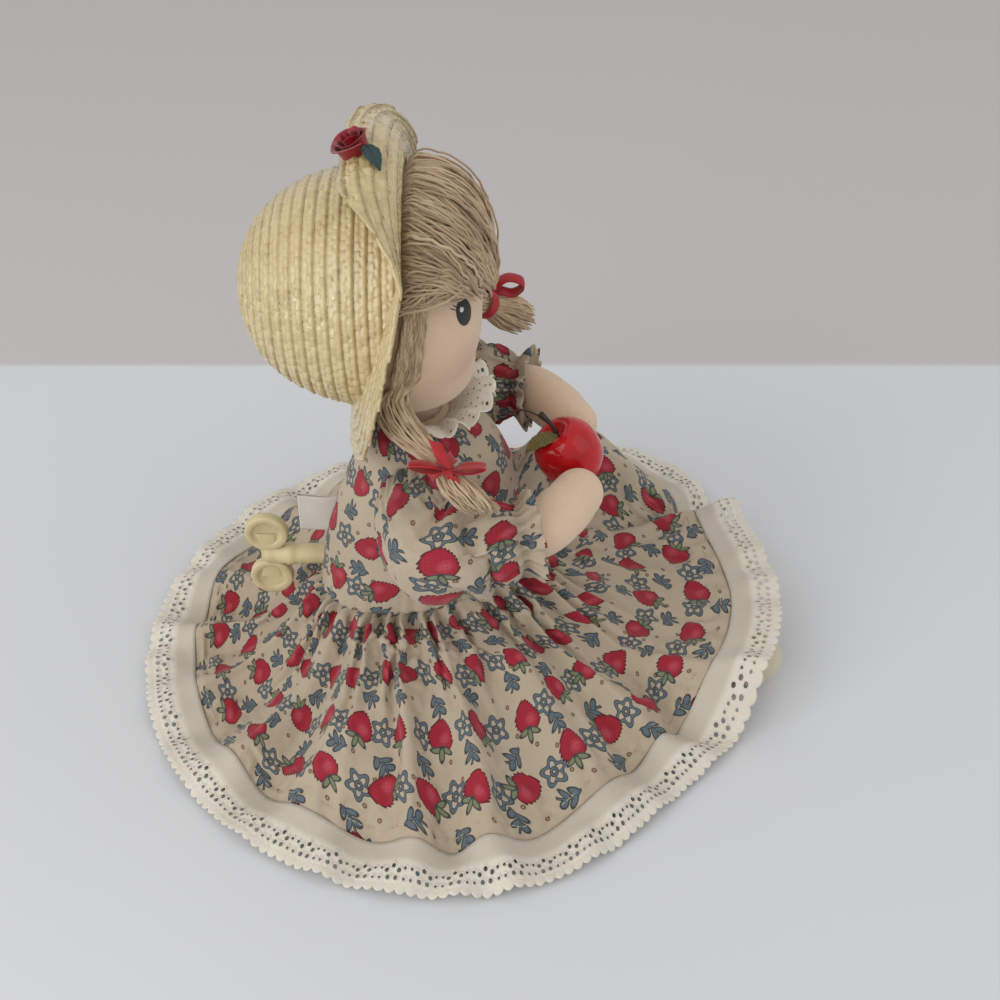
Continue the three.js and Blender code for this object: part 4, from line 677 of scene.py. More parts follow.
@dataclass(frozen=True)
class SkinCloth:
    """Fine knitted cloth in a skin tone, with the face painted on where asked for."""

    name: str
    colour: Rgb = (228, 203, 175)
    warm: Rgb = (216, 185, 156)
    rib: float = 0.55
    face: bool = False
    eye_x: float = 22.5
    eye_z: float = 214.0
    eye_half_width: float = 4.6
    eye_half_height: float = 6.0
    glint_at: Pair = (1.1, 1.9)
    lashes: tuple[Pair, ...] = ((0.4, 0.55), (2.2, 0.95), (3.3, 1.5))
    mouth_z: float = 185.0
    mouth_half_width: float = 5.5
    cheek_x: float = 22.0
    cheek_z: float = 190.0
    blush: Rgb = (205, 130, 118)
    iris: Rgb = (26, 24, 30)
    glint: Rgb = (222, 220, 214)
    lip: Rgb = (172, 78, 78)

    def material(self) -> Material:
        """Builds the material.

        Returns:
            The material.
        """
        graph = Graph(self.name, 0.85, Sheen_Weight=0.25, Sheen_Roughness=0.5, Subsurface_Weight=0.06,
                      Subsurface_Scale=0.003)
        x, y, z = graph.spot()
        where = graph.vector(x, y, z)
        patches = graph.noise(where, 0.05)
        fuzz = graph.noise(where, 1.6, 3)
        colour = patches.paint(self.colour, self.warm)
        if self.face:
            colour = self.painted(colour, x, y, z)
        colour = graph.bright(colour, fuzz * 0.24 + 0.88)
        ribs = ((x + y) * (TURN / self.rib)).sine() * (z * (TURN / self.rib)).sine() * 0.05
        return graph.done(colour, ribs + fuzz * 0.16 + patches * 0.2)

    def painted(self, colour: Socket, x: Field, y: Field, z: Field) -> Socket:
        """Paints eyes, lashes, cheeks and a small mouth on the front of the head.

        Args:
            colour: the bare cloth's colour.
            x: place across, in millimetres.
            y: place front to back, in millimetres.
            z: height in millimetres.

        Returns:
            The painted colour.
        """
        front = y.below(2.0, 1.0)
        beside = abs(x) - self.eye_x
        up = z - self.eye_z
        cheek_x, cheek_z = abs(x) - self.cheek_x, z - self.cheek_z
        cheek = (cheek_x * cheek_x + cheek_z * cheek_z).below(60.0, 120.0)
        colour = (cheek * front * 0.28).paint(colour, self.blush)
        wide = beside / self.eye_half_width
        high = up / self.eye_half_height
        colour = ((wide * wide + high * high).below(1.0, 0.1) * front).paint(colour, self.iris)
        side = x.below(0.0, 0.01) * 2.0 - 1.0
        glint_x = beside - side * self.glint_at[0]
        glint_z = up - self.glint_at[1]
        glint = (glint_x * glint_x + glint_z * glint_z).below(1.3, 0.6)
        colour = (glint * front).paint(colour, self.glint)
        for start, lean in self.lashes:
            line = abs(beside - start - (up - 2.6) * lean * 0.6)
            length = up.below(7.0 - start * 0.55, 0.3) * (2.4 - up).below(0.0, 0.3)
            colour = (line.below(0.3, 0.15) * length * front).paint(colour, self.iris)
        smile = abs(z - self.mouth_z - x * x * 0.05)
        lips = smile.below(0.55, 0.3) * abs(x).below(self.mouth_half_width, 0.5) * front
        return lips.paint(colour, self.lip)


@dataclass(frozen=True)
class PrintCotton:
    """Printed cotton: red strawberries among slate blossoms, leafy sprigs and small rings."""

    name: str = "print_cotton"
    ground: Rgb = (186, 171, 149)
    shadow: Rgb = (170, 154, 132)
    berry: Rgb = (154, 22, 43)
    berry_dark: Rgb = (84, 16, 28)
    berry_light: Rgb = (186, 78, 90)
    slate: Rgb = (88, 102, 110)
    ink: Rgb = (50, 54, 58)
    leaf: Rgb = (116, 122, 92)
    ring: Rgb = (112, 86, 66)
    cell: float = 29.0
    scale: float = 0.88
    scatter: float = 0.16
    swing: float = 4.4
    edge: float = 0.2
    thread: float = 0.42
    blossom_at: Pair = (0.5, 0.02)
    sprig_at: Pair = (0.46, 0.5)
    berry_at: Pair = (0.0, 0.0)
    rings_at: tuple[Pair, ...] = ((0.26, 0.18), (0.02, 0.48), (0.74, 0.84))
    ring_radius: float = 0.75
    berry_half: Pair = (6.6, 7.2)
    seed_turn: float = 1.75
    petals: float = 5.0
    petal_reach: Pair = (4.9, 1.3)
    stalk_half: Pair = (0.5, 5.6)

    def motif_place(self, u: Field, v: Field, shift: Pair, seed: float) -> tuple[Field, Field]:
        """Scatters one motif over the cloth.

        Args:
            u: place across, in millimetres.
            v: place along, in millimetres.
            shift: where in its cell the motif sits, as shares.
            seed: choice of random numbers.

        Returns:
            Place within the motif, turned with it.
        """
        up = v / self.cell - shift[1]
        row = up.floor()
        across = u / self.cell - shift[0] + row * 0.5
        column = across.floor()
        first, second, third = u.graph.dice(column, row, seed)
        nearest = 0.5 - self.scatter / 2
        x = (across - column - nearest - first * self.scatter) * self.cell
        y = (up - row - nearest - second * self.scatter) * self.cell
        angle = (third - 0.5) * self.swing
        sine, cosine = angle.sine(), angle.cosine()
        return x * cosine - y * sine, x * sine + y * cosine

    def inked(self, colour: Socket, far: Field, fill: Rgb) -> Socket:
        """Prints a shape with a dark outline, from the distance to its edge."""
        outlined = far.below(0.3, self.edge).paint(colour, self.ink)
        return far.below(-0.25, self.edge).paint(outlined, fill)

    def material(self) -> Material:
        """Builds the material.

        Returns:
            The material.
        """
        graph = Graph(self.name, 0.86, Sheen_Weight=0.12, Sheen_Roughness=0.5)
        u, v = graph.flat()
        colour = graph.noise(graph.vector(u, v), 0.03).paint(self.ground, self.shadow)
        drawn = (u / self.scale, v / self.scale)
        colour = self.blossom(colour, *self.motif_place(*drawn, self.blossom_at, 3.0))
        colour = self.sprig(colour, *self.motif_place(*drawn, self.sprig_at, 5.0))
        for shift in self.rings_at:
            x, y = self.motif_place(*drawn, shift, 11.0 + shift[1])
            far = abs((x * x + y * y).root() - self.ring_radius)
            colour = far.below(0.42, self.edge).paint(colour, self.ring)
        colour = self.berries(colour, *self.motif_place(*drawn, self.berry_at, 1.0))
        slubs = graph.noise(graph.vector(u * 0.25, v * 1.6), 1.4, 3)
        colour = graph.bright(colour, slubs * 0.24 + 0.88)
        return graph.done(colour, weave(u, v, self.thread, 0.03) + slubs * 0.08)

    def berries(self, colour: Socket, x: Field, y: Field) -> Socket:
        """Draws a strawberry with seeds and a leafy cap.

        Args:
            colour: what is printed so far.
            x: place across the motif.
            y: place along it.

        Returns:
            The printed colour.
        """
        far = oval(x / (1.0 + y * 0.045), y, (0.0, 0.0), self.berry_half)
        teeth = ((x - y) * 2.6).sine() * 0.35
        colour = (far + teeth).below(0.45, self.edge).paint(colour, self.berry_dark)
        colour = far.below(-0.35, 0.6).paint(colour, self.berry)
        light = oval(x, y, (-1.9, 1.6), (2.6, 2.2), 30).below(0.0, 1.6)
        colour = (light * 0.6).paint(colour, self.berry_light)
        seeds = ((x + y) * self.seed_turn).sine() * ((x - y) * self.seed_turn).sine()
        shown = (0.86 - seeds).below(0.0, 0.06) * far.below(-1.4, 0.4)
        colour = shown.paint(colour, self.berry_dark)
        for middle, turn in (((2.7, 7.0), 24.0), ((-2.7, 7.0), 156.0), ((0.0, 8.6), 90.0)):
            colour = self.inked(colour, oval(x, y, middle, (3.2, 1.25), turn), self.leaf)
        return colour

    def blossom(self, colour: Socket, x: Field, y: Field) -> Socket:
        """Draws an open blossom of five petals.

        Args:
            colour: what is printed so far.
            x: place across the motif.
            y: place along it.

        Returns:
            The printed colour.
        """
        angle = x.graph.math("ARCTAN2", y, x)
        reach = (x * x + y * y).root()
        petals = (angle * self.petals).cosine() * self.petal_reach[1] + self.petal_reach[0]
        colour = self.inked(colour, abs(reach - petals) - 1.0, self.slate)
        return self.inked(colour, abs(reach - 1.5) - 0.6, self.slate)

    def sprig(self, colour: Socket, x: Field, y: Field) -> Socket:
        """Draws a bent stalk with two pairs of leaves.

        Args:
            colour: what is printed so far.
            x: place across the motif.
            y: place along it.

        Returns:
            The printed colour.
        """
        bent = x - y * y * 0.06
        far = (abs(bent) - self.stalk_half[0]).most(abs(y) - self.stalk_half[1])
        for out, low in ((1, -2.6), (-1, -1.4), (1, 1.6), (-1, 2.8)):
            far = far.least(oval(bent, y, (2.0 * out, low), (3.0, 1.3), 90.0 - 50.0 * out))
        return self.inked(colour, far, self.slate)


@dataclass(frozen=True)
class LaceThread:
    """Cream cotton thread of the lace edging and the collar."""

    name: str = "cream_lace"
    colour: Rgb = (226, 220, 208)
    shadow: Rgb = (208, 200, 184)
    sheer: Rgb = (184, 175, 159)
    sheer_width: float = 10.0
    thread: float = 0.5

    def material(self) -> Material:
        """Builds the material.

        Returns:
            The material.
        """
        graph = Graph(self.name, 0.9, Sheen_Weight=0.2, Subsurface_Weight=0.1, Subsurface_Scale=0.002)
        u, v = graph.flat()
        cloth = graph.vector(u, v)
        wear = graph.noise(cloth, 0.08)
        fuzz = graph.noise(cloth, 2.2, 3)
        colour = wear.paint(self.colour, self.shadow)
        colour = (v.below(self.sheer_width, 2.0) * 0.7).paint(colour, self.sheer)
        colour = graph.bright(colour, fuzz * 0.2 + 0.9)
        return graph.done(colour, weave(u, v, self.thread, 0.05) + fuzz * 0.12)


@dataclass(frozen=True)
class Yarn:
    """Soft two-ply tan yarn."""

    name: str = "tan_yarn"
    light: Rgb = (214, 190, 156)
    dark: Rgb = (152, 127, 98)

    def material(self) -> Material:
        """Builds the material.

        Returns:
            The material.
        """
        graph = Graph(self.name, 0.9, Sheen_Weight=0.35, Sheen_Roughness=0.4)
        u, v = graph.flat()
        fibre = graph.noise(graph.vector(u * 2.0 + v * 1.2, v * 0.35), 1.3, 3)
        tone = graph.shade() * 0.7 + graph.noise(graph.vector(v, u, 3.0), 0.06) * 0.5 - 0.1
        colour = tone.paint(self.dark, self.light)
        colour = graph.bright(colour, fibre * 0.5 + 0.75)
        return graph.done(colour, fibre * 0.3)


@dataclass(frozen=True)
class PlaitedStraw:
    """Pale plaited straw with a soft gloss on each split."""

    name: str = "plaited_straw"
    light: Rgb = (208, 189, 140)
    middle: Rgb = (179, 157, 108)
    dark: Rgb = (104, 83, 48)

    def material(self) -> Material:
        """Builds the material.

        Returns:
            The material.
        """
        graph = Graph(self.name, 0.4, Coat_Weight=0.7, Coat_Roughness=0.1)
        u, v = graph.flat()
        shade = graph.shade()
        # The mesh's shade holds painted shade between splits and braid rows; the dark colour shows that
        # painted shade along the row edges.
        colour = shade.below(0.5, 0.45).paint(self.light, self.middle)
        colour = (shade.below(0.22, 0.12) * 0.85).paint(colour, self.dark)
        grain = graph.noise(graph.vector(u * 2.0, v * 3.0), 1.4, 3)
        colour = graph.bright(colour, grain * 0.2 + 0.9)
        return graph.done(colour, grain * 0.05, grain * 0.14 + 0.18)


@dataclass(frozen=True)
class Ribbon:
    """Woven satin ribbon, ribbed across and glossy along."""

    name: str
    colour: Rgb
    deep: Rgb
    rib: float = 0.45

    def material(self) -> Material:
        """Builds the material.

        Returns:
            The material.
        """
        graph = Graph(self.name, 0.42, Sheen_Weight=0.3, Sheen_Roughness=0.35)
        u, v = graph.flat()
        cloth = graph.vector(u, v)
        tone = graph.noise(cloth, 0.2)
        colour = tone.paint(self.colour, self.deep)
        # threads lightens the colour along each rib and darkens it between ribs, in step with the ribs'
        # relief: painted shade.
        threads = (v * (TURN / self.rib)).sine()
        colour = graph.bright(colour, threads * 0.07 + 0.95)
        return graph.done(colour, threads * 0.03 + graph.noise(cloth, 1.5) * 0.05, tone * 0.2 + 0.32)


@dataclass(frozen=True)
class LeafCloth:
    """Stiffened leaf cloth with a mid vein and side veins."""

    name: str
    colour: Rgb
    deep: Rgb
    gloss: float = 0.5

    def material(self) -> Material:
        """Builds the material.

        Returns:
            The material.
        """
        graph = Graph(self.name, self.gloss)
        u, v = graph.flat()
        mottle = graph.noise(graph.vector(u, v), 0.6, 3)
        vein = abs(u).below(0.3, 0.25).most((v * 2.6 - abs(u) * 2.2).sine().below(-0.86, 0.12))
        colour = mottle.paint(self.colour, self.deep)
        colour = (vein * 0.4).paint(colour, self.deep)
        return graph.done(colour, mottle * 0.1 - vein * 0.12)


@dataclass(frozen=True)
class Lacquer:
    """Red lacquer over a turned apple, deeper red in soft random patches."""

    name: str = "apple_lacquer"
    colour: Rgb = (190, 4, 18)
    deep: Rgb = (168, 3, 15)

    def material(self) -> Material:
        """Builds the material.

        Returns:
            The material.
        """
        graph = Graph(self.name, 0.45, Specular_IOR_Level=0.1, Coat_Weight=1.0, Coat_Roughness=0.03,
                      Coat_IOR=1.4)
        where = graph.vector(*graph.spot())
        tone = graph.noise(where, 0.1, 3)
        colour = tone.below(0.42, 0.2).paint(self.colour, self.deep)
        ripple = graph.noise(where, 0.16, 2)
        return graph.done(colour, ripple * 0.25 + graph.noise(where, 1.2) * 0.02)


@dataclass(frozen=True)
class MouldedPlastic:
    """Moulded plastic with fine grain, faint flow marks and handling wear."""

    name: str
    colour: Rgb
    worn: Rgb
    roughness: float = 0.42

    def material(self) -> Material:
        """Builds the material.

        Returns:
            The material.
        """
        graph = Graph(self.name, self.roughness)
        where = graph.vector(*graph.spot())
        cloud = graph.noise(where, 0.12, 3)
        grain = graph.noise(where, 2.5, 2)
        colour = (cloud.below(0.45, 0.2) * 0.7).paint(self.colour, self.worn)
        return graph.done(colour, grain * 0.03 + cloud * 0.15, cloud * 0.25 + (self.roughness - 0.1))


@dataclass(frozen=True)
class Metal:
    """Machined metal with turning marks and slight tarnish."""

    name: str
    colour: Rgb
    tarnish: Rgb
    roughness: float = 0.3

    def material(self) -> Material:
        """Builds the material.

        Returns:
            The material.
        """
        graph = Graph(self.name, self.roughness, Metallic=1.0)
        x, y, z = graph.spot()
        cloud = graph.noise(graph.vector(x, y, z), 0.25, 3)
        marks = graph.noise(graph.vector(x * 0.3, y * 6.0, z * 0.3), 1.0, 2)
        colour = (cloud.below(0.45, 0.15) * 0.6).paint(self.colour, self.tarnish)
        return graph.done(colour, marks * 0.02, marks * 0.2 + (self.roughness - 0.08))


@dataclass(frozen=True)
class TableTop:
    """Pale matt paper of the table and, beyond its far edge, the wall's grey."""

    name: str = "table_top"
    near: Rgb = (214, 216, 219)
    far: Rgb = (196, 193, 193)
    far_edge: float = 251.0

    def material(self) -> Material:
        """Builds the material.

        Returns:
            The material.
        """
        graph = Graph(self.name, 0.95, Specular_IOR_Level=0.1)
        x, y, _ = graph.spot()
        cloud = graph.noise(graph.vector(x, y), 0.004, 2)
        near = graph.bright(self.near, cloud * 0.06 + 0.97)
        return graph.done((x - self.far_edge).below(0.0, 3.0).paint(self.far, near))


SKIN = SkinCloth("skin_cloth")
FACE = SkinCloth("face_cloth", face=True)
PRINT = PrintCotton()
LACE = LaceThread()
COLLAR_LACE = LaceThread("collar_lace", (236, 231, 220), (222, 214, 198), sheer_width=-9.0)
HEM_THREAD = LaceThread("hem_thread", (200, 187, 164), (186, 171, 147), sheer_width=-9.0)
YARN = Yarn()
# A darker copy of the tan yarn for the cap under the bonnet and behind the fringe: painted shade.
SHADED_UNDER_YARN = Yarn("under_yarn", (190, 165, 131), (142, 118, 90))
STRAW = PlaitedStraw()
RED_RIBBON = Ribbon("red_satin", (196, 12, 28), (150, 4, 18))
ROSE_RIBBON = Ribbon("rose_satin", (166, 16, 40), (110, 6, 24))
ROSE_LEAF_CLOTH = LeafCloth("dark_leaf", (44, 78, 74), (24, 50, 50))
APPLE_LEAF_CLOTH = LeafCloth("olive_leaf", (126, 114, 52), (84, 74, 36), 0.4)
STEM_FINISH = MouldedPlastic("stem_wrap", (58, 42, 38), (34, 24, 22), 0.6)
SHOE_FINISH = SkinCloth("shoe_cloth", (216, 206, 184), (200, 186, 160), 0.7)
TAPE = LaceThread("tag_tape", (212, 206, 198), (196, 190, 180), sheer_width=-9.0, thread=0.35)
KEY_PLASTIC = MouldedPlastic("key_plastic", (208, 193, 150), (188, 171, 128))
APPLE_LACQUER = Lacquer()


# Body

SEAM_GAP = 0.35
WAIST_Z = 57.0
WAIST_SLOPE = 0.22
WAIST_SEAM_Y = 9.0
SHOULDER = np.array([0.0, -2.0, 124.0])
NECK = np.array([0.0, 1.0, 150.0])
TORSO_STATIONS = (
    (0.0, 34.0, 38.0, 0.0), (6.16, 39.6, 46.0, 0.0), (28.0, 41.0, 48.0, 0.0), (57.0, 36.0, 45.5, 0.0),
    (82.5, 35.5, 44.0, -2.75), (108.0, 35.0, 38.0, -5.5), (132.0, 30.5, 29.0, -5.5),
    (146.4, 19.65, 19.2, -0.95), (150.0, 15.0, 15.0, 1.0),
)


def waist_seam(y: Array) -> Array:
    """Gives the height of the waist seam, which slopes from front to back."""
    return WAIST_Z - WAIST_SLOPE * (y - WAIST_SEAM_Y)


def torso_rings(rows: int, columns: int, grow: float) -> Array:
    """Draws the torso as rings.

    Args:
        rows: rings from seat to neck.
        columns: points round each ring.
        grow: distance outside the stuffed body.

    Returns:
        Array of rows, columns and X, Y, Z.
    """
    sizes = spline(TORSO_STATIONS, rows, eased=True)
    angle = np.linspace(0, TURN, columns)
    x = (sizes[:, 1:2] + grow) * np.sin(angle)
    y = sizes[:, 3:4] + (sizes[:, 2:3] + grow) * np.cos(angle)
    return joined(x, y, sizes[:, :1])


@dataclass
class Torso:
    """The stuffed cloth body, flat under its seat, under the dress."""

    rows: int = 60
    columns: int = 97
    seam_width: float = 1 / 30
    seam_depth: float = 0.0125
    fill: float = 0.85

    def build(self) -> None:
        """Builds and dresses the torso."""
        rings = torso_rings(self.rows, self.columns, 0)
        seam = hump(np.sin(np.linspace(0, TURN, self.columns)), self.seam_width)
        rings[..., :2] *= (1 - self.seam_depth * seam)[None, :, None]
        floor = np.repeat([[[0.0, 0.0, rings[0, 0, 2]]]], self.columns, axis=1)
        neck = np.repeat([[[0.0, NECK[1], rings[-1, 0, 2]]]], self.columns, axis=1)
        piece = surface("torso_cloth", SKIN, np.concatenate([floor, rings, neck]))
        place(piece, "body", "skin_cloth", "torso")


@dataclass
class Bodice:
    """The dress bodice, gathered a little above the waist seam, with the sewn-in tape tag."""

    out: float = 1.75
    rows: int = 72
    columns: int = 161
    top_z: float = 148.6
    armhole: float = 12.6
    armhole_x: float = 20.0
    gathers: int = 46
    gather_share: float = 0.16
    gather_depth: float = 0.7
    drift: float = 0.6
    cloth: float = 0.9
    flat: Pair = (0.255, 0.105)
    tag_flat: Pair = (0.04, 0.02)
    tag_z: float = 87.0
    tag_seam_y: float = 38.6
    tag_cloth: float = 0.3

    def build(self) -> None:
        """Builds and dresses the bodice and its tag."""
        angle = np.linspace(0, TURN, self.columns)
        share = np.linspace(0, 1, self.rows)[:, None]
        tall = torso_rings(400, self.columns, self.out)
        heights = tall[:, 0, 2]
        foot = np.interp(WAIST_Z, heights, tall[:, 0, 1])
        z = lerp(waist_seam(foot * np.cos(angle))[None], self.top_z, share)
        points = np.empty((self.rows, self.columns, 3))
        for column in range(self.columns):
            for axis in (0, 1):
                points[:, column, axis] = np.interp(z[:, column], heights, tall[:, column, axis])
        points[..., 2] = z
        outward = np.stack([np.sin(angle), np.cos(angle), np.zeros_like(angle)], axis=-1)[None]
        low = hump(share, self.gather_share)
        wave = np.cos(angle * self.gathers + 2.2 * np.sin(angle * 5) + 1.4 * np.cos(angle * 11))[None]
        drift = np.sin(angle * 3 + share * 5) * np.sin(share * 9 + angle * 2)
        points = points + outward * (self.gather_depth * low * (wave + 1) + self.drift * drift)[..., None]
        from_joint = np.hypot(points[..., 1] - SHOULDER[1], points[..., 2] - SHOULDER[2])
        opening = (from_joint < self.armhole) & (np.abs(points[..., 0]) > self.armhole_x)
        piece = surface("bodice", PRINT, points, keep=~(opening[:-1, :-1] & opening[1:, 1:]))
        thicken(piece, self.cloth)
        place(piece, "body", "print_cotton", "dress_bodice")
        self.tag()

    def tag(self) -> None:
        """Builds the blank tape tag sewn into the back of the bodice."""
        reach, width = self.tag_flat[0] / MM / 2, self.tag_flat[1] / MM
        run = np.linspace(0, 1, 48)
        fold = np.abs(2 * run - 1)
        y = self.tag_seam_y + reach * (1 - fold ** 6) * np.clip(1.6 * np.minimum(run, 1 - run) + 0.2, 0, 1)
        x = np.where(run < 0.5, -1, 1) * (0.9 * (1 - fold ** 8)) + 1.2 * np.sin(run * math.pi) ** 2
        across = np.linspace(-width / 2, width / 2, 17)
        curl = 0.7 * np.sin(across / 5)[None] * (1 - fold)[:, None]
        piece = surface("tape_tag", TAPE, joined(x[:, None] + curl, y[:, None], self.tag_z + across[None]))
        thicken(piece, self.tag_cloth, 0)
        place(piece, "body", "tag_tape", "sewn_tag")


# Skirt and hem lace


@dataclass(frozen=True)
class Drape:
    """How the skirt falls from the waist, over the legs, to the table."""

    waist_half_width: float = 37.75
    waist_half_depth: float = 47.25
    hem_half_width: float = 134.0
    hem_half_depth: float = 136.0
    hem_middle_y: float = -18.5
    hem_z: float = 7.0
    lace_z: float = 2.4
    lace_width: float = 25.0
    fullness: float = 9.0
    puff_height: float = 34.0
    puff_reach: float = 0.31
    puff_place: float = math.radians(130)
    puff_spread: float = math.radians(21)
    key_hollow: float = math.radians(35)
    folds: int = 18
    fold_height: float = 6.5
    fold_out: float = 2.4
    leg_cover: float = 33.4
    leg_span: float = 29.0
    hip_x: float = 21.0
    hip_y: float = -54.0
    ankle_y: float = -146.0
    right_ankle_x: float = -25.0
    left_ankle_x: float = 43.0
    swing_room: float = 14.0
    flattening: float = 0.11
    flat_place: float = math.radians(45)
    flat_spread: float = math.radians(25)
    leg_swing: float = math.radians(4)

    def over_legs(self, x: Array, y: Array) -> Array:
        """Gives how high the cloth is held up by the legs and shoes.

        Args:
            x: place across.
            y: place front to back.

        Returns:
            Height in millimetres.
        """
        share = (y - self.hip_y) / (self.ankle_y - self.hip_y)
        right = lerp(-self.hip_x, self.right_ankle_x, share)
        left = lerp(self.hip_x, self.left_ankle_x, share)
        beside = np.maximum(0, np.maximum(right - x, x - left))
        swing = self.swing_room + math.tan(self.leg_swing) * (self.hip_y - y)
        cover = 1 - smooth(beside, swing, swing + self.leg_span)
        return np.where(y < 0, self.leg_cover * cover, 0)

    def point(self, a: Array, s: Array) -> Array:
        """Finds a point of the drape.

        Args:
            a: angle round the waist from the middle of the back, in radians.
            s: 0 at the waist, 1 at the hem, 2 at the lace's edge.

        Returns:
            X, Y and Z for each.
        """
        a, s = np.broadcast_arrays(a, s)
        from_front = np.abs(math.pi - np.mod(a, TURN))
        puff = hump(np.mod(a, TURN) - self.puff_place, self.puff_spread)
        corner = hump(from_front - self.flat_place, self.flat_spread)
        scale = 1 + self.puff_reach * puff - self.flattening * corner
        sine, cosine = np.sin(a), np.cos(a)
        down, across = np.minimum(s, 1), np.maximum(0, s - 1)
        waist_x, waist_y = self.waist_half_width * sine, self.waist_half_depth * cosine
        hem_x = self.hem_half_width * scale * sine
        hem_y = self.hem_middle_y + self.hem_half_depth * scale * cosine
        reach = self.lace_width * across
        warp = a + 0.045 * np.sin(5 * a + 1.0) + 0.03 * np.sin(8 * a)
        fold = np.cos(self.folds * warp) * (0.78 + 0.22 * np.sin(7 * a + 0.6))
        fold_out = self.fold_out * fold * np.sin(math.pi * np.minimum(1, 2 * down))
        x = lerp(waist_x, hem_x, down) + sine * (reach + fold_out)
        y = lerp(waist_y, hem_y, down) + cosine * (reach + fold_out)
        lift = self.over_legs(x, y)
        free = 1 - np.minimum(1, lift / self.leg_span)
        z = lerp(waist_seam(waist_y) - SEAM_GAP, self.hem_z, down)
        beside = 2 * smooth(math.pi - from_front, self.key_hollow, 2 * self.key_hollow) - 1
        bulge = (self.fullness * beside + self.puff_height * puff) * np.sin(math.pi * down)
        z = lerp(z, self.lace_z, across) + bulge * free
        z = z + free * fold * lerp(self.fold_height * smooth(down, 0, 0.8), 0, across)
        return np.stack([x, y, np.maximum(z, lift)], axis=-1)


@dataclass
class Skirt:
    """The full gathered skirt, with a topstitched hem."""

    drape: Drape = field(default_factory=Drape)
    rows: int = 84
    columns: int = 721
    gathers: int = 40
    gather_height: float = 4.6
    gather_length: float = 0.55
    flat: Pair = (0.80, 0.108)
    cloth: float = 0.9
    sink: float = 0.4
    stitch_share: float = 0.95
    stitch_pitch: float = 3.0
    stitch_fill: float = 0.72
    stitch_radius: float = 0.2

    def gathered(self, angle: Array, share: float) -> Array:
        """Draws one ring of the skirt with its gathers.

        Args:
            angle: angles round the waist, in radians.
            share: 0 at the waist and 1 at the hem.

        Returns:
            Rows of X, Y and Z.
        """
        points = self.drape.point(angle, share)
        wander = 1.9 * np.sin(angle * 5 + 1.1) + 1.2 * np.sin(angle * 11 + 0.4) + 0.8 * np.sin(angle * 23)
        own = 0.75 + 0.35 * np.sin(angle * 13 + 2) * np.sin(angle * 7)
        fade = math.exp(-((share / self.gather_length) ** 1.6)) * (0.4 + 0.6 * float(smooth(share, 0, 0.07)))
        wave = own * np.cos(angle * self.gathers + wander + 1.5 * share) + 0.25
        outward = np.stack([0.55 * np.sin(angle), 0.55 * np.cos(angle), 0.8 + 0 * angle], axis=-1)
        return points + outward * (self.gather_height * fade * wave)[:, None]

    def build(self) -> None:
        """Builds and dresses the skirt and its hem stitches."""
        dense = np.linspace(0, TURN, 4 * self.columns)
        shares = np.linspace(0, 1, self.rows)
        points = np.empty((self.rows, self.columns, 3))
        for row, share in enumerate(shares):
            run = lengths_along(self.gathered(dense, share))
            angle = np.interp(np.linspace(0, run[-1], self.columns), run, dense)
            points[row] = self.gathered(angle, share)
        points[..., 2] -= self.sink * smooth(shares, 0.94, 1.0)[:, None]
        held = np.clip(1 - 7 * np.minimum(shares, 1 - shares), 0, 1)
        points = settle(points, held, (34, 240), growth=0.05, pressure=0.0, cap=3.0, weight=0.15, steps=12)
        across = np.linspace(0, self.flat[0] / MM, self.columns)[None]
        piece = surface("skirt", PRINT, points, joined(across, shares[:, None] * self.flat[1] / MM))
        thicken(piece, self.cloth)
        place(piece, "body", "print_cotton", "dress_skirt")
        self.stitches()

    def stitches(self) -> None:
        """Builds the row of stitches along the hem."""
        around = np.linspace(0, TURN, 2401)
        line = self.drape.point(around, np.full_like(around, self.stitch_share))
        run = lengths_along(line)
        draft = Draft()
        for start in np.arange(0, run[-1], self.stitch_pitch):
            stops = start + np.linspace(0, self.stitch_fill, 6) * self.stitch_pitch
            path = np.stack([np.interp(stops, run, line[:, k]) for k in range(3)], axis=-1)
            path[:, 2] += 0.05 + 0.28 * np.sin(np.linspace(0, math.pi, 6))
            draft.tube(path, np.full(6, self.stitch_radius), 5)
        piece = draft.build("hem_stitches", HEM_THREAD)
        place(piece, "body", "cream_lace")


EYELET_TURNS = [TURN * k / 12 for k in range(12)]


@dataclass(frozen=True)
class Eyelet:
    """A round or oval hole in lace, with thread sewn round it."""

    x: float
    y: float
    radius: float
    stretch: float

    def away(self, spot: Sequence[float]) -> float:
        """Measures how far a place is from the hole's middle, in the hole's own scale."""
        return math.hypot(spot[0] - self.x, (spot[1] - self.y) / self.stretch)

    def ring(self, grow: float) -> list[Pair]:
        """Draws a ring at a distance outside the hole's edge."""
        wide, tall = self.radius + grow, self.radius * self.stretch + grow
        return [(self.x + wide * math.cos(turn), self.y + tall * math.sin(turn)) for turn in EYELET_TURNS]


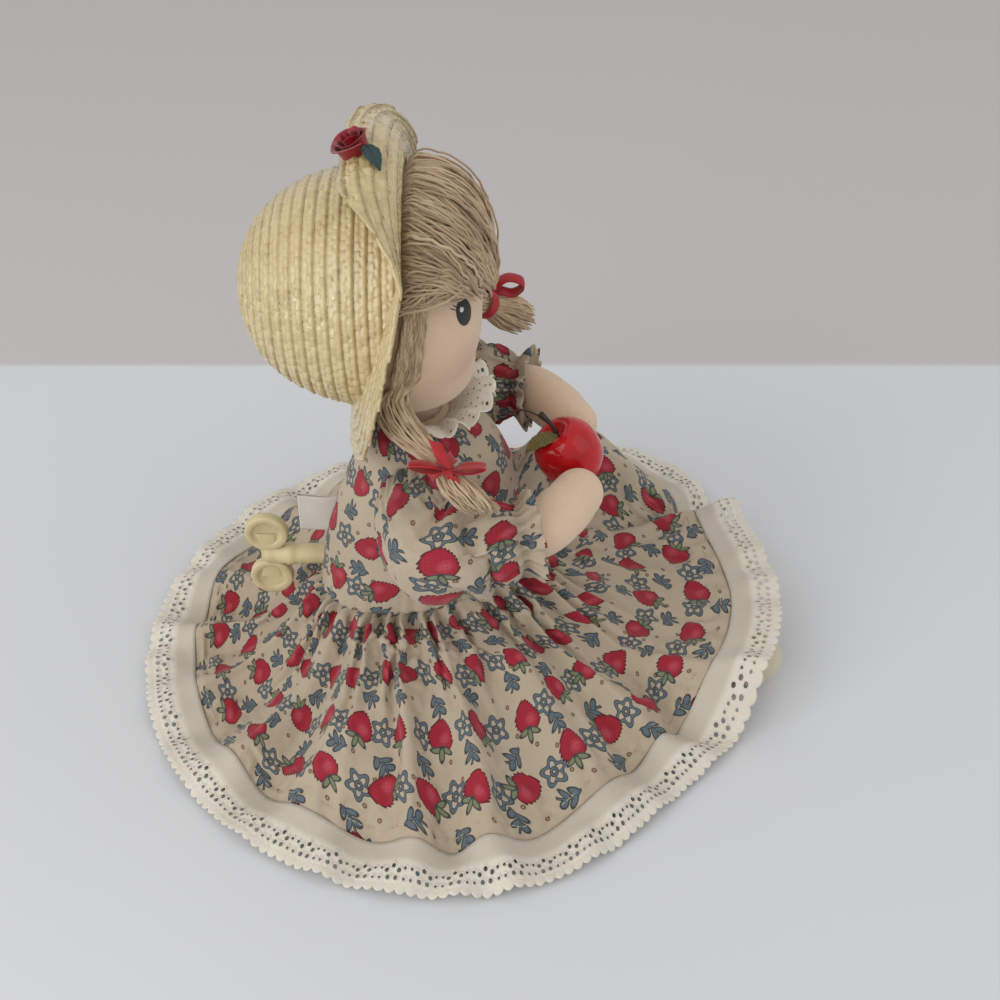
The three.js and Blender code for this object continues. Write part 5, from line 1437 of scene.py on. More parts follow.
@dataclass
class LaceCell:
    """One repeat of a lace edging, with real holes and raised thread round them.

    Once drawn, points holds the flat places, faces their triangles and lift the height of each.
    """

    width: float
    height: float
    eyelets: Sequence[Eyelet]
    scallop: float
    cord: float
    scallops: int = 1
    rim_steps: int = 24
    side_steps: int = 14
    foot_steps: int = 8
    rim_cord: float = 0.9

    def outline(self) -> tuple[list[Pair], list[Pair]]:
        """Draws the edge of the repeat.

        Returns:
            The whole outline, and its scalloped rim.
        """
        steps = self.rim_steps
        dips = [1 - abs(math.sin(math.pi * self.scallops * k / steps)) ** 0.7 for k in range(steps + 1)]
        rim = [(self.width * k / steps, self.height - self.scallop * dip) for k, dip in enumerate(dips)]
        low = self.height - self.scallop
        sides = [low - low * k / self.side_steps for k in range(1, self.side_steps)]
        outline = [(self.width * k / self.foot_steps, 0.0) for k in range(self.foot_steps + 1)]
        outline += [(self.width, y) for y in reversed(sides)] + rim[::-1] + [(0.0, y) for y in sides]
        return outline, rim

    def filling(self) -> list[Pair]:
        """Scatters points over the plain cloth between the holes.

        Returns:
            The points.
        """
        spots = []
        for row in range(1, 12):
            for column in range(1, 8):
                x = self.width * (column + 0.5 * (row % 2) - 0.25) / 7.6
                spot = (x, (self.height - self.scallop) * row / 12)
                clear = all(hole.away(spot) > hole.radius + self.cord for hole in self.eyelets)
                if clear and 0.6 < x < self.width - 0.6:
                    spots.append(spot)
        return spots

    def __post_init__(self) -> None:
        """Draws the repeat flat and cuts its holes."""
        spots, rim = self.outline()
        edges = [(k, (k + 1) % len(spots)) for k in range(len(spots))]
        raised: dict[tuple[int, int], float] = {}
        for hole in self.eyelets:
            for grow, high in ((0.0, 0.15), (self.cord * 0.5, 0.5), (self.cord, 0.0)):
                ring = hole.ring(grow)
                edges += [(len(spots) + k, len(spots) + (k + 1) % len(ring)) for k in range(len(ring))]
                spots += ring
                raised.update((self.key(spot), high) for spot in ring)
        inner_rim = [(x, y - self.rim_cord) for x, y in rim[1:-1]]
        raised.update((self.key(spot), 0.45) for spot in inner_rim)
        spots += inner_rim + self.filling()
        found, _, faces, *_ = delaunay_2d_cdt([Vector(spot) for spot in spots], edges, [], 1, 1e-4)
        self.points = np.array([(point.x, point.y) for point in found])
        self.faces = [face for face in faces if not self.in_hole(self.points[list(face)].mean(axis=0))]
        self.lift = np.array([raised.get(self.key(spot), 0.0) for spot in self.points])

    def key(self, spot: Sequence[float]) -> tuple[int, int]:
        """Names a place by its hundredths of a millimetre."""
        return round(spot[0] * 100), round(spot[1] * 100)

    def in_hole(self, spot: Array) -> bool:
        """Tells whether a place is open."""
        return any(hole.away(spot) < hole.radius for hole in self.eyelets)


@dataclass
class HemLace:
    """Scalloped eyelet edging sewn under the hem and lying on the table."""

    drape: Drape = field(default_factory=Drape)
    repeats: int = 70
    cell_width: float = 13.6
    cell_height: float = 25.0
    scallop: float = 1.8
    scallops: int = 3
    flower_y: float = 16.0
    flower_reach: float = 2.9
    petals: int = 5
    petal: float = 0.88
    spray_rows: Pair = (14.0, 18.6)
    spray_in: float = 1.5
    spray: float = 0.62
    stretch: float = 1.2
    cord: float = 0.7
    flat: Pair = (0.952, 0.025)
    thread: float = 0.7

    def build(self) -> None:
        """Builds and dresses the edging."""
        width, reach = self.cell_width, self.flower_reach
        turns = [TURN * (k + 0.75) / self.petals for k in range(self.petals)]
        flower = [(reach * math.cos(turn), reach * math.sin(turn)) for turn in turns]
        holes = [Eyelet(width / 2 + x, self.flower_y + y, self.petal, self.stretch) for x, y in flower]
        for y in self.spray_rows:
            holes += [Eyelet(x, y, self.spray, self.stretch) for x in (self.spray_in, width - self.spray_in)]
        cell = LaceCell(width, self.cell_height, holes, self.scallop, self.cord, self.scallops)
        draft = Draft()
        for k in range(self.repeats):
            angle = (k + cell.points[:, 0] / width) * TURN / self.repeats
            share = 1.004 + cell.points[:, 1] / self.cell_height * 0.996
            points = self.drape.point(angle, share)
            ripple = 1.6 + 1.5 * np.sin(angle * 27 + 2 * np.sin(angle * 4)) + 0.8 * np.sin(angle * 47 + 1)
            points[:, 2] += cell.lift + ripple * smooth(share, 1.0, 1.6) + 0.5
            draft.loose(points, cell.faces, cell.points + np.array([k * width, 0.0]))
        piece = draft.build("hem_edging", LACE, 0.02)
        thicken(piece, self.thread)
        place(piece, "body", "cream_lace", "hem_lace")


@dataclass
class Collar:
    """Ruffled net lace round the front of the neck, open behind."""

    opening: float = math.radians(62)
    inner: float = 16.4
    reach: float = 21.0
    rise: float = 9.5
    wave: float = 2.6
    waves: int = 11
    bulge: float = 2.8
    repeats: int = 22
    cell_width: float = 8.0
    cell_height: float = 21.0
    scallop: float = 2.0
    hole: float = 0.65
    hole_from: float = 3.2
    hole_pitch: float = 2.6
    rim_hole: float = 0.7
    rim_hole_y: float = 18.3
    cord: float = 0.5
    seam_z: float = 149.7
    side_reach: float = 4.0
    flat: Pair = (0.16, 0.021)
    cut: float = 0.0022
    thread: float = 0.5

    def build(self) -> None:
        """Builds and dresses the collar."""
        width = self.cell_width
        rows = [self.hole_from + self.hole_pitch * row for row in range(6)]
        holes = [Eyelet(x, y, self.hole, 0.8) for y in rows[::2] for x in (width / 4, width * 3 / 4)]
        holes += [Eyelet(width / 2, y, self.hole, 0.8) for y in rows[1::2]]
        holes.append(Eyelet(width / 2, self.rim_hole_y, self.rim_hole, 1.0))
        cell = LaceCell(width, self.cell_height, holes, self.scallop, self.cord)
        draft = Draft()
        for k in range(self.repeats):
            along = (k + cell.points[:, 0] / width) / self.repeats
            out = cell.points[:, 1] / self.cell_height
            a = lerp(self.opening, TURN - self.opening, along)
            front = smooth((1 - np.cos(a)) / 2, 0.0, 0.7)
            radius = self.inner + lerp(self.side_reach, self.reach, front) * out
            ruffle = self.wave * np.cos(TURN * self.waves * along) + 0.8 * np.sin(TURN * 17 * along)
            height = (self.rise + ruffle) * out + self.bulge * np.sin(out * math.pi)
            z = self.seam_z + height * front + 0.5 * cell.lift
            points = np.stack([radius * np.sin(a), NECK[1] + radius * np.cos(a), z], axis=-1)
            draft.loose(points, cell.faces, cell.points + np.array([k * width, 0.0]))
        piece = draft.build("collar_lace", COLLAR_LACE, 0.02)
        thicken(piece, self.thread, 0)
        place(piece, "body", "cream_lace", "lace_collar")


# Limbs


class Side(Enum):
    """Sides of the doll, with the sign of their X."""

    RIGHT = -1
    LEFT = 1

    @property
    def word(self) -> str:
        """Gives the side's name in node names."""
        return self.name.lower()


def sided(points: Sequence, side: Side) -> Array:
    """Mirrors points drawn for the right side where the left is wanted."""
    return np.asarray(points, float) * np.array([-side.value, 1, 1])


def rounded_tube(path: Array, radii: Array, sides: int) -> tuple[Array, Array]:
    """Draws a stuffed limb with round ends.

    Args:
        path: points along the middle.
        radii: radius at each point.
        sides: points round it.

    Returns:
        Points and flat places, each in rows and columns.
    """
    tangents = unit(np.gradient(path, axis=0))
    caps = np.radians([88, 75, 60, 45, 30, 15])
    start = path[0] - tangents[0] * (radii[0] * np.sin(caps))[:, None]
    end = path[-1] + tangents[-1] * (radii[-1] * np.sin(caps[::-1]))[:, None]
    full = np.vstack([start, path, end])
    sizes = np.concatenate([radii[0] * np.cos(caps), radii, radii[-1] * np.cos(caps[::-1])])
    angle = np.linspace(0, TURN, sides + 1)
    uv = joined(angle[None] * radii.mean(), lengths_along(full)[:, None])
    return rings_round(full, sizes[:, None], angle), uv


def seamed(points: Array, depth: Array) -> Array:
    """Draws a limb in towards its middle line by a share of its radius."""
    middle = points.mean(axis=1, keepdims=True)
    return middle + (points - middle) * (1 - depth)[..., None]


ARM_PATH = (
    (-23, -2, 124), (-43, -5, 124), (-58, -20, 119), (-55, -50, 121), (-41, -64, 121), (-26.3, -73, 121),
)
ARM_RADII = ((10.5,), (11.5,), (11.5,), (12.0,), (12.5,), (11.5,))
SLEEVE_PATH = ((-27, -2, 122), (-43, -4, 120), (-58, -14, 118), (-59, -34, 120), (-56.5, -45, 121))
SLEEVE_RADII = ((17.5,), (21.0,), (23.0,), (20.0,), (15.0,))
APPLE_MIDDLE = np.array([0.0, -70.0, 123.5])
APPLE_RADIUS = 15.3
APPLE_TILT = math.radians(32)


@dataclass
class Arm:
    """A stuffed arm ending in a plain rounded hand that is sewn to the apple."""

    side: Side
    rows: int = 70
    sides: int = 48
    seam_place: float = 2.2
    seam_width: float = 1 / 14
    seam_depth: float = 0.55 / 12
    apple_gap: float = 0.25
    fill: float = 0.8

    def build(self) -> None:
        """Builds and dresses the arm."""
        path = spline(sided(ARM_PATH, self.side), self.rows)
        radii = spline(ARM_RADII, self.rows, eased=True)[:, 0]
        points, uv = rounded_tube(path, radii, self.sides)
        angle = np.linspace(0, TURN, self.sides + 1)
        seam = hump(np.sin((angle - self.seam_place) / 2), self.seam_width)
        points = seamed(points, self.seam_depth * seam[None])
        away = points - APPLE_MIDDLE
        far = np.linalg.norm(away, axis=-1, keepdims=True)
        points = APPLE_MIDDLE + away * np.maximum(1, (APPLE_RADIUS + self.apple_gap) / far)
        piece = surface(f"{self.side.word}_arm_cloth", SKIN, points, uv)
        soften(piece)
        place(piece, "arms", "skin_cloth", f"{self.side.word}_arm")


@dataclass
class Sleeve:
    """A puffed sleeve, gathered at its cap and at an elastic cuff with a small frill."""

    side: Side
    rows: int = 60
    sides: int = 150
    gathers: int = 22
    gather_depth: float = 1.1
    frill: float = 9.0
    frill_rows: int = 12
    frill_radius: float = 20.0
    frill_wave: float = 2.4
    cuff_radius: float = 14.4
    cuff_rows: float = 2.2
    cuff_draw: float = 0.6
    elbow: float = 0.62
    elbow_width: float = 0.2
    elbow_crease: float = 1.9
    crease: float = 1.5
    cloth: float = 0.8
    flat: Pair = (0.15, 0.092)

    def build(self) -> None:
        """Builds and dresses the sleeve."""
        path = spline(sided(SLEEVE_PATH, self.side), self.rows)
        radii = spline(SLEEVE_RADII, self.rows, eased=True)[:, 0]
        direction = unit(sided(ARM_PATH[3:4], self.side)[0] - sided(SLEEVE_PATH[3:4], self.side)[0])
        beyond = path[-1] + direction * (self.frill * np.linspace(0, 1, self.frill_rows + 1)[1:])[:, None]
        full = np.vstack([path, beyond])
        flare = smooth(np.linspace(0, 1, self.frill_rows), 0, 1)
        sizes = np.concatenate([radii, lerp(self.cuff_radius, self.frill_radius, flare)])
        cuff = hump(np.arange(len(sizes)) - self.rows, self.cuff_rows)
        sizes = lerp(sizes, self.cuff_radius - self.cuff_draw, cuff)
        angle = np.linspace(0, TURN, self.sides + 1)
        row = np.arange(len(full)) / self.rows
        points = rings_round(full, sizes[:, None] + self.creases(angle, row[:, None]), angle)
        run = lengths_along(full)
        each = np.linalg.norm(np.diff(points, axis=0, prepend=points[:1]), axis=-1).cumsum(axis=0)
        each += run[self.rows // 2] - each[self.rows // 2]
        uv = joined(angle[None] / TURN * self.flat[0] / MM, (each + run[:, None]) / 2)
        held = np.clip(np.maximum(1 - row / 0.12, (row - 0.84) / 0.08), 0, 1)
        points = settle(points, held, (44, 76), growth=0.12, pressure=1.5, cap=4.0)
        piece = surface(f"{self.side.word}_sleeve_cloth", PRINT, points, uv)
        thicken(piece, self.cloth)
        place(piece, "arms", "print_cotton", f"{self.side.word}_sleeve")

    def creases(self, angle: Array, share: Array) -> Array:
        """Draws pleats at both ends, creases between them and the frill's waves.

        Args:
            angle: angles round the sleeve, in radians.
            share: 0 at the cap, 1 at the cuff and more along the frill.

        Returns:
            Height over the plain sleeve, in rows and columns.
        """
        ends = hump(share - 1, 0.22) + 0.8 * hump(share, 0.2)
        wander = 1.3 * np.sin(angle * 3 + 0.7) + 0.9 * np.sin(angle * 7)
        pleats = np.cos(angle * self.gathers + wander + 0.6 * np.sin(share * 7))
        folds = self.crease * np.sin(share * 9 + 2 * np.cos(angle + 0.5)) * np.cos(angle * 2 + share * 3)
        bend = hump(share - self.elbow, self.elbow_width) * (0.6 + 0.4 * np.cos(angle * 2 + 1))
        folds = folds + self.elbow_crease * bend * np.sin(share * 34 + 1.8 * np.sin(angle * 2 + 0.4))
        frilled = smooth(share, 1.02, 1.2) * self.frill_wave * np.cos(angle * 13 + 0.8 * np.sin(angle * 4))
        return self.gather_depth * ends * pleats + folds * (1 - ends) + frilled


@dataclass
class Leg:
    """A stuffed leg lying forward under the skirt, with its soft shoe."""

    side: Side
    drape: Drape
    ankle_x: float
    hip_z: float = 15.7
    ankle_z: float = 13.7
    hip_radius: float = 15.0
    ankle_radius: float = 13.0
    rows: int = 30
    sides: int = 40
    knee_row: float = 20.0
    knee_rows: float = 1.6
    seam_width: float = 1 / 14
    seam_depth: float = 0.5 / 13
    shoe_half: Triple = (14.0, 16.0, 14.5)
    shoe_z: float = 14.85
    sole_seam: float = -6.0
    sole_width: float = 1.4
    sole_depth: float = 0.05
    sole_flat: float = 0.6
    fill: float = 0.8

    def build(self) -> None:
        """Builds and dresses the leg and the shoe."""
        hip = np.array([self.side.value * self.drape.hip_x, self.drape.hip_y, self.hip_z])
        ankle = np.array([self.ankle_x, self.drape.ankle_y, self.ankle_z])
        path = lerp(hip[None], ankle[None], np.linspace(0, 1, self.rows)[:, None])
        radii = np.linspace(self.hip_radius, self.ankle_radius, self.rows)
        points, uv = rounded_tube(path, radii, self.sides)
        knee = hump(np.arange(len(points)) - self.knee_row, self.knee_rows)[:, None]
        seam = hump(np.sin(np.linspace(0, TURN, self.sides + 1) / 2), self.seam_width)[None]
        points = seamed(points, self.seam_depth * (knee + seam))
        leg = surface(f"{self.side.word}_leg_cloth", SKIN, points, uv)
        soften(leg)
        place(leg, f"{self.side.word}_leg", "skin_cloth", f"{self.side.word}_leg")
        self.shoe(hip, ankle)

    def shoe(self, hip: Array, ankle: Array) -> None:
        """Builds the soft shoe with its sole seam.

        Args:
            hip: the hip joint.
            ankle: the ankle.
        """
        direction = unit((ankle - hip) * np.array([1, 1, 0]))
        middle = ankle + direction * self.shoe_half[1]
        middle[2] = self.shoe_z
        lat = np.linspace(-math.pi / 2, math.pi / 2, 30)[:, None]
        lon = np.linspace(0, TURN, 49)[None]
        x = np.cos(lat) * np.cos(lon) * self.shoe_half[0]
        y = np.cos(lat) * np.sin(lon) * self.shoe_half[1]
        z = np.sin(lat) * (1 + 0 * lon) * self.shoe_half[2]
        sole = 1 - self.sole_depth * hump(z - self.sole_seam, self.sole_width)
        points = joined(x * sole, y * sole, np.maximum(z, self.sole_flat - self.shoe_half[2])) + middle
        shoe = surface(f"{self.side.word}_shoe_cloth", SHOE_FINISH, points)
        soften(shoe)
        place(shoe, f"{self.side.word}_leg", "shoe_cloth", f"{self.side.word}_shoe")


# Head and hair

TIE_X = 62.0
TIE_Z = 165.0


@dataclass
class Head:
    """The stuffed head on its short neck, with its painted face."""

    bonnet: "Bonnet"
    bottom: float = 150.35
    neck: float = 10.0
    height: float = 84.0
    half_width: float = 44.5
    half_depth: float = 42.5
    middle_y: float = 12.0
    fullness: float = 2.35
    seat: float = 13.0
    bonnet_room: float = 2.6
    cheek_at: Pair = (24.0, 188.0)
    cheek_half: Pair = (12.0, 13.0)
    cheek_swell: float = 0.9
    rows: int = 80
    columns: int = 121
    fill: float = 0.95

    def rings(self, rows: int, columns: int, grow: float = 0.0) -> Array:
        """Draws the head as rings.

        Args:
            rows: rings from neck to crown.
            columns: points round each ring.
            grow: distance outside it.

        Returns:
            Array of rows, columns and X, Y, Z.
        """
        share = (1 - np.cos(np.linspace(0, math.pi, rows))) / 2
        width = (1 - np.abs(2 * share - 1) ** self.fullness) ** (1 / self.fullness)
        low = np.where(share < 0.5, self.seat, 1.0)
        half_width = np.maximum(self.half_width * width, low) + grow
        half_depth = np.maximum(self.half_depth * width, low) + grow
        y = lerp(NECK[1], self.middle_y, smooth(share, 0, 0.3))
        z = self.bottom + self.neck + self.height * share + grow * (2 * share - 1)
        angle = np.linspace(0, TURN, columns)
        depth = y[:, None] + half_depth[:, None] * np.cos(angle)
        points = joined(half_width[:, None] * np.sin(angle), depth, z[:, None])
        return self.bonnet.tucked(points, self.bonnet_room - min(grow, 1.0))

    def side_x(self, y: Array, z: Array) -> Array:
        """Finds how far out the side of the head is.

        Args:
            y: place front to back.
            z: height.

        Returns:
            Distance from the middle plane.
        """
        share = (z - self.bottom - self.neck) / self.height
        width = np.maximum(0.05, 1 - np.abs(2 * share - 1) ** self.fullness) ** (1 / self.fullness)
        inside = 1 - ((y - self.middle_y) / (self.half_depth * width)) ** 2
        return self.half_width * width * np.sqrt(np.maximum(0.05, inside))

    def build(self) -> None:
        """Builds and dresses the head."""
        rings = self.rings(self.rows, self.columns)
        cheek = hump(np.abs(rings[..., 0]) - self.cheek_at[0], self.cheek_half[0])
        cheek = cheek * hump(rings[..., 2] - self.cheek_at[1], self.cheek_half[1])
        rings[..., 1] -= self.cheek_swell * cheek * smooth(-rings[..., 1], 0, 20)
        foot = rings[:1].copy()
        foot[..., 2] = self.bottom
        middles = [ring.mean(axis=1, keepdims=True) for ring in (foot, rings[-1:])]
        under, crown = (np.repeat(middle, self.columns, axis=1) for middle in middles)
        piece = surface("head_cloth", FACE, np.concatenate([under, foot, rings, crown]))
        place(piece, "head", "skin_cloth", "head")


@dataclass
class Hair:
    """Yarn hair: a sewn-down cap, a thick fringe, and bunches tied at both sides."""

    head: Head
    middle: Triple = (0.0, 9.0, 222.0)
    half: Triple = (47.0, 42.0, 43.0)
    fringe_strands: int = 1150
    fringe_fan: float = math.radians(82)
    fringe_end_z: float = 220.0
    fringe_side_rise: float = 17.0
    face_half_width: float = 37.0
    bunch_strands: int = 260
    bunch_curtain: tuple[Triple, ...] = ((222.0, -9.0, 0.0), (207.0, -7.0, 3.0), (194.0, -4.0, 6.0))
    bunch_route: tuple[tuple[Triple, float], ...] = (
        ((-16.5, 20.0, 18.5), 7.0), ((-9.0, 13.0, 8.0), 8.6), ((0.0, 0.0, 0.0), 4.8),
    )
    bunch_end: float = 8.6
    yarn_radius: float = 0.52
    crimp: float = 0.32
    sides: int = 6
    strand_up: Triple = (0.3, 0.2, 1.0)
    bonnet_room: float = 3.4
    cap_out: float = 1.2
    cap_cloth: float = 0.6
    nape_z: float = 176.0

    def __post_init__(self) -> None:
        """Sets up the random numbers."""
        self.random = np.random.default_rng(SEED)

    def strand(self, draft: Draft, path: Array) -> None:
        """Adds one crimped strand.

        Args:
            draft: mesh to add it to.
            path: points along it.
        """
        run = lengths_along(path)
        turns = self.random.uniform(0, TURN, 3)
        pitch = self.random.uniform(7, 12, 3)
        wave = np.sin(run[:, None] * TURN / pitch + turns) * self.crimp * self.random.uniform(0.4, 1.2)
        taper = np.minimum(1, 0.55 + 0.25 * np.arange(len(path))[::-1])
        inside = self.head.bonnet.tucked(path + wave, self.bonnet_room)
        radii = self.yarn_radius * self.random.uniform(0.8, 1.25) * taper
        draft.tube(inside, radii, self.sides, self.strand_up, float(self.random.uniform(0, 1)))

    def on_egg(self, direction: Array, lift: Array) -> Array:
        """Finds points at a height over the fringe's egg shape, along directions in its own scale."""
        reach = np.array(self.half) + np.asarray(lift)[..., None]
        return np.array(self.middle) + unit(direction) * reach

    def edge_z(self, x: Array) -> Array:
        """Gives the height of the fringe's lower edge across the face."""
        return self.fringe_end_z + self.fringe_side_rise * (x / self.face_half_width) ** 2

    def fringe(self) -> None:
        """Builds the fringe, combed forward from under the brim."""
        draft = Draft()
        middle, half = np.array(self.middle), np.array(self.half)
        t = np.linspace(0, 1, 28)[:, None]
        for k in range(self.fringe_strands):
            share = 2 * (k + 0.5) / self.fringe_strands - 1
            depth = self.random.uniform(0, 1)
            phi = self.fringe_fan * share + self.random.normal(0, 0.04)
            start = unit(np.array([math.sin(phi), self.random.uniform(-0.16, 0.0), math.cos(phi)]))
            end_x = self.face_half_width * math.sin(1.45 * share) + self.random.normal(0, 2.0)
            end_z = self.edge_z(end_x) + self.random.normal(0, 2.6) + 3.0 * (1 - depth)
            near = ((end_x - middle[0]) / half[0], (end_z - middle[2]) / half[2])
            end = np.array([near[0], -math.sqrt(max(0.02, 1 - near[0] ** 2 - near[1] ** 2)), near[1]])
            swing = math.acos(float(np.clip(start @ end, -1, 1)))
            way = (np.sin((1 - t) * swing) * start + np.sin(t * swing) * end) / math.sin(swing)
            lock = 0.07 * math.sin(share * 71) + self.random.normal(0, 0.05)
            sway = lock * np.sin(t * math.pi) + self.random.normal(0, 0.02) * np.sin(t * 9)
            way = way + sway * np.cross(start, end)[None]
            rise = 1.5 + 1.3 * math.sin(share * 47) + 6.0 * self.random.uniform(0, 1) ** 14
            lift = (-2.0 + 4.2 * depth + rise * np.sin(t[:, 0] * math.pi)) * smooth(t[:, 0], -0.3, 0.3)
            self.strand(draft, self.on_egg(way, lift + 1.8 * smooth(t[:, 0], 0.6, 1)))
        piece = draft.build("fringe_yarn", YARN)
        place(piece, "head", "yarn", "front_hair")

    def cap(self) -> None:
        """Builds the sewn-down cap of yarn under the bonnet and behind the fringe."""
        rings = self.head.rings(60, 161, self.cap_out)
        x, y, z = rings[..., 0], rings[..., 1], rings[..., 2]
        hair = ((y > 1) & (z > self.nape_z)) | (z > self.edge_z(x) + 6)
        draft = Draft()
        # The cap is drawn with low shade shares, 0.4 here and 0.3 for the layer behind the fringe, in the
        # darker yarn: painted shade under the bonnet and behind the fringe.
        draft.grid(rings, None, 0.4, hair[:-1, :-1] & hair[1:, 1:])
        lat = np.linspace(-0.35, math.pi / 2, 50)[:, None]
        lon = np.linspace(-1.35, 1.35, 141)[None]
        way = joined(np.cos(lat) * np.sin(lon), -np.cos(lat) * np.cos(lon), np.sin(lat))
        points = self.on_egg(way, -1.8 - 0.5 * np.abs(np.sin(lon * 60)) + 0 * lat)
        over = points[..., 2] > self.edge_z(points[..., 0]) + 5
        draft.grid(points, None, 0.3, over[:-1, :-1] & over[1:, 1:])
        piece = draft.build("cap_yarn", SHADED_UNDER_YARN)
        thicken(piece, self.cap_cloth)
        place(piece, "head", "yarn", "back_hair")

    def bunch(self, side: Side, tie_y: float, drop: float) -> None:
        """Builds one bunch: side hair gathered through the tie to a brushed-out end.

        Args:
            side: side of the head.
            tie_y: place of the tie front to back.
            drop: how far below the tie its end hangs.
        """
        draft = Draft()
        tie_at = np.array([TIE_X, tie_y, TIE_Z])
        for _ in range(self.bunch_strands):
            back = self.random.uniform(0, 1)
            spread = math.sqrt(self.random.uniform(0.02, 1))
            turn = self.random.uniform(0, TURN)
            disc = spread * np.array([0.75 * math.cos(turn), math.sin(turn), 0.75 * math.cos(turn)])
            out = 1.2 + 2.6 * self.random.uniform(0, 1)
            phi = math.radians(lerp(50.0, 66.0, self.random.uniform(0, 1)))
            start = np.array([45 * math.sin(phi), lerp(-10.0, 0.0, back), 213 + 46 * math.cos(phi)])
            curtain = []
            for height, ahead, behind in self.bunch_curtain:
                y = lerp(ahead, behind, back)
                curtain.append([float(self.head.side_x(y, height)) + out, y, height])
            gathered = [tie_at + np.array(step) + size * disc for step, size in self.bunch_route]
            tail = tie_at + np.array([6.0, -8.0, -drop / 2]) + self.bunch_end * disc
            tip = tie_at + np.array([9.5, -16.0, -drop]) + self.bunch_end * disc
            tip = tail + (tip - tail) * self.random.uniform(0.8, 1.12)
            route = np.array([start, *curtain, *gathered, tail, tip])
            self.strand(draft, spline(route * np.array([side.value, 1, 1]), 52))
        piece = draft.build(f"{side.word}_bunch_yarn", YARN)
        place(piece, "head", "yarn", f"{side.word}_pigtail")


@dataclass
class Bow:
    """A satin ribbon tied round a bunch in a small bow."""

    side: Side
    tie_y: float
    width: float = 6.35
    loop: float = 14.5
    thickness: float = 0.35
    band_radius: float = 6.6
    knot_radius: float = 2.3
    knot_width: float = 4.4
    knot_step: Triple = (-8.0, -3.0, 4.0)
    hair_way: Triple = (-6.0, -8.0, -8.0)
    loop_lifts: tuple[Pair, ...] = (
        (0.0, 0.0), (0.5, 1.0), (0.95, 0.5), (1.05, -0.2), (0.7, -0.9), (0.3, -0.4), (0.0, 0.0),
    )
    crown: float = 0.35

    def strip(self, draft: Draft, path: Sequence, across: Sequence, width: float, samples: int = 30) -> None:
        """Adds one length of ribbon.

        Args:
            draft: mesh to add it to.
            path: points along its middle, drawn for the right side.
            across: direction of its width at each point.
            width: its width.
            samples: points along it.
        """
        middle = spline(sided(path, self.side), samples)
        wide = unit(spline(sided(across, self.side), samples))
        rows = np.linspace(-0.5, 0.5, 7)
        crown = self.crown * np.cos(rows * math.pi)
        normal = unit(np.cross(np.gradient(middle, axis=0), wide))
        flat = middle[:, None] + wide[:, None] * (rows * width)[:, None]
        uv = joined((rows * width)[None], lengths_along(middle)[:, None])
        draft.grid(flat + normal[:, None] * crown[:, None], uv)

    def build(self) -> None:
        """Builds and dresses the bow."""
        tie = np.array([-TIE_X, self.tie_y, TIE_Z])
        knot = tie + np.array(self.knot_step)
        draft = Draft()
        along = unit(np.array(self.hair_way))
        first = unit(np.cross(along, UP))
        second = np.cross(first, along)
        turns = np.linspace(0, TURN, 15)
        band = [tie + self.band_radius * (first * math.cos(a) + second * math.sin(a)) for a in turns]
        self.strip(draft, band, [along] * len(turns), self.width * 0.8, 60)
        out, high = np.array([-1.0, 0.0, 0.25]), np.array([-2.0, 0, 3.4])
        tied = out + np.array([0, 0, 0.6])
        for reach, rise in ((self.loop, 3.0), (-self.loop, 2.0)):
            end = np.array([0, reach, rise])
            route = [knot + far * end + lift * high for far, lift in self.loop_lifts]
            self.strip(draft, route, [tied, out, out, out, out, out, tied], self.width)
        for sideways, drop in ((-0.55 * self.loop, -self.loop), (0.3 * self.loop, self.loop)):
            end = np.array([-1.0, sideways, drop])
            route = [knot, knot + 0.4 * end + np.array([-1.6, 0, 0.6]), knot + 0.8 * end, knot + 1.1 * end]
            self.strip(draft, route, [np.array([0.3, 1.0, 0.2])] * len(route), self.width * 0.95)
        wrap = [knot + self.knot_radius * np.array([0.9 * math.cos(a), 0, math.sin(a)]) for a in turns]
        self.strip(draft, wrap, [np.array([0, 1.0, 0])] * len(turns), self.knot_width, 40)
        piece = draft.build(f"{self.side.word}_bow_ribbon", RED_RIBBON)
        thicken(piece, self.thickness, 0)
        place(piece, "head", "red_satin", f"{self.side.word}_bow")


# Bonnet

LEAF_CLOTH = 0.6


